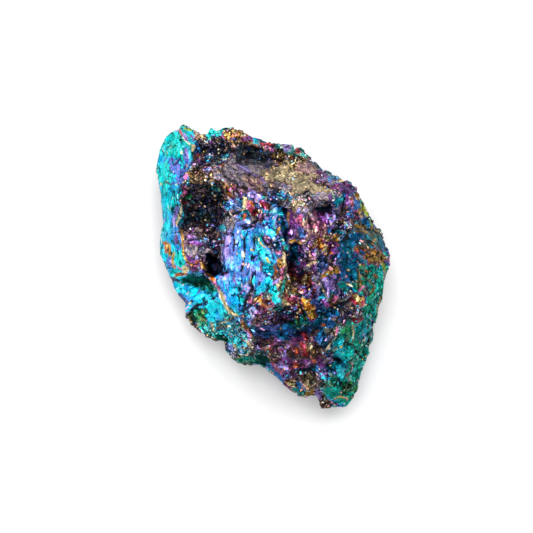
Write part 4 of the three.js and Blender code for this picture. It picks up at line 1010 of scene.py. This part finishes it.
def make_stone(frame):
    piece = fine_mesh(frame["nodes"][STONE])
    surface = Surface(piece.data)
    painter = Painter(surface)
    rough, angle, stretch, cut = painter.form()
    facets, flakes = [Chips(surface.points, layer, angle, stretch) for layer in (FACETS, FLAKES)]
    look = painter.look(surface.points, flakes.to_seed)
    place = blade_place(surface.points, angle, stretch)
    roughen(surface, (facets, flakes), rough, cut)
    add_attributes(piece.data, {"blade_place": place, **tarnish(surface, facets, flakes, look, rough)})
    surface.write()
    piece.data.materials.clear()
    piece.data.materials.append(tarnish_material())
    for polygon in piece.data.polygons:
        polygon.use_smooth = True
    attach(piece, "root")
    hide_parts(STONE)


# ---- The table, the light and the camera ----

FLOOR_SIZE, FLOOR_GAP = 3.0, 0.02 * MM
TABLE_COLOUR, TABLE_ROUGHNESS = (0.80, 0.80, 0.80, 1), 0.9
WORLD_COLOUR = (0.25, 0.25, 0.25, 1)
SOFTBOXES = {  # name: (place, size, power), all turned towards the stone
    "overhead_softbox": ((0.02, 0.10, 0.80), (0.90, 0.90), 4.2),
    "back_softbox": ((0.04, 0.42, 0.50), (0.80, 0.60), 5.0),
    "left_softbox": ((-0.40, 0.10, 0.20), (0.40, 0.30), 0.9),
    "front_softbox": ((0.05, -0.45, 0.40), (0.60, 0.40), 0.8),
}


def make_floor():
    bpy.ops.mesh.primitive_plane_add(size=FLOOR_SIZE, location=(0, 0, -FLOOR_GAP))
    floor = bpy.context.object
    floor.name = "floor"
    material = bpy.data.materials.new("pale_table")
    material.use_nodes = True
    shader = material.node_tree.nodes["Principled BSDF"]
    shader.inputs["Base Color"].default_value = TABLE_COLOUR
    shader.inputs["Roughness"].default_value = TABLE_ROUGHNESS
    floor.data.materials.append(material)


def add_softbox(name, place, size, power):
    light = bpy.data.lights.new(name, "AREA")
    light.shape = "RECTANGLE"
    light.size, light.size_y = size
    light.energy = power
    box = bpy.data.objects.new(name, light)
    box.location = place
    box.rotation_euler = (-Vector(place)).to_track_quat("-Z", "Y").to_euler()
    bpy.context.scene.collection.objects.link(box)


def light_scene():
    world = bpy.data.worlds.new("studio")
    world.use_nodes = True
    world.node_tree.nodes["Background"].inputs["Color"].default_value = WORLD_COLOUR
    bpy.context.scene.world = world
    for name, (place, size, power) in SOFTBOXES.items():
        add_softbox(name, place, size, power)
    bpy.context.scene.view_settings.view_transform = "Standard"


def add_camera():
    camera = bpy.data.cameras.new("camera")
    camera.lens, camera.sensor_width = LENS, SENSOR
    camera.clip_start = 0.01
    across = (PIXELS / 2 - STONE_PIXEL[0]) * MM_PER_PIXEL
    up = (STONE_PIXEL[1] - PIXELS / 2) * MM_PER_PIXEL
    eye = bpy.data.objects.new("camera", camera)
    eye.location = (across * MM, up * MM, (EYE_DISTANCE + RIM_HEIGHT) * MM)
    bpy.context.scene.collection.objects.link(eye)
    bpy.context.scene.camera = eye


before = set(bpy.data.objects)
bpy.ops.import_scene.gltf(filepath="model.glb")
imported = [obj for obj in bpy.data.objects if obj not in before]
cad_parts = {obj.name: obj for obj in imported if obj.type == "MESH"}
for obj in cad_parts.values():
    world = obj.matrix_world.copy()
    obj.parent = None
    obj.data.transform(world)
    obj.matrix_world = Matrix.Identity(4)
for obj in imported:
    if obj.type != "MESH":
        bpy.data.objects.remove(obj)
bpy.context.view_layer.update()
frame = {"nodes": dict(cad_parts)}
make_stone(frame)
make_floor()
light_scene()
add_camera()
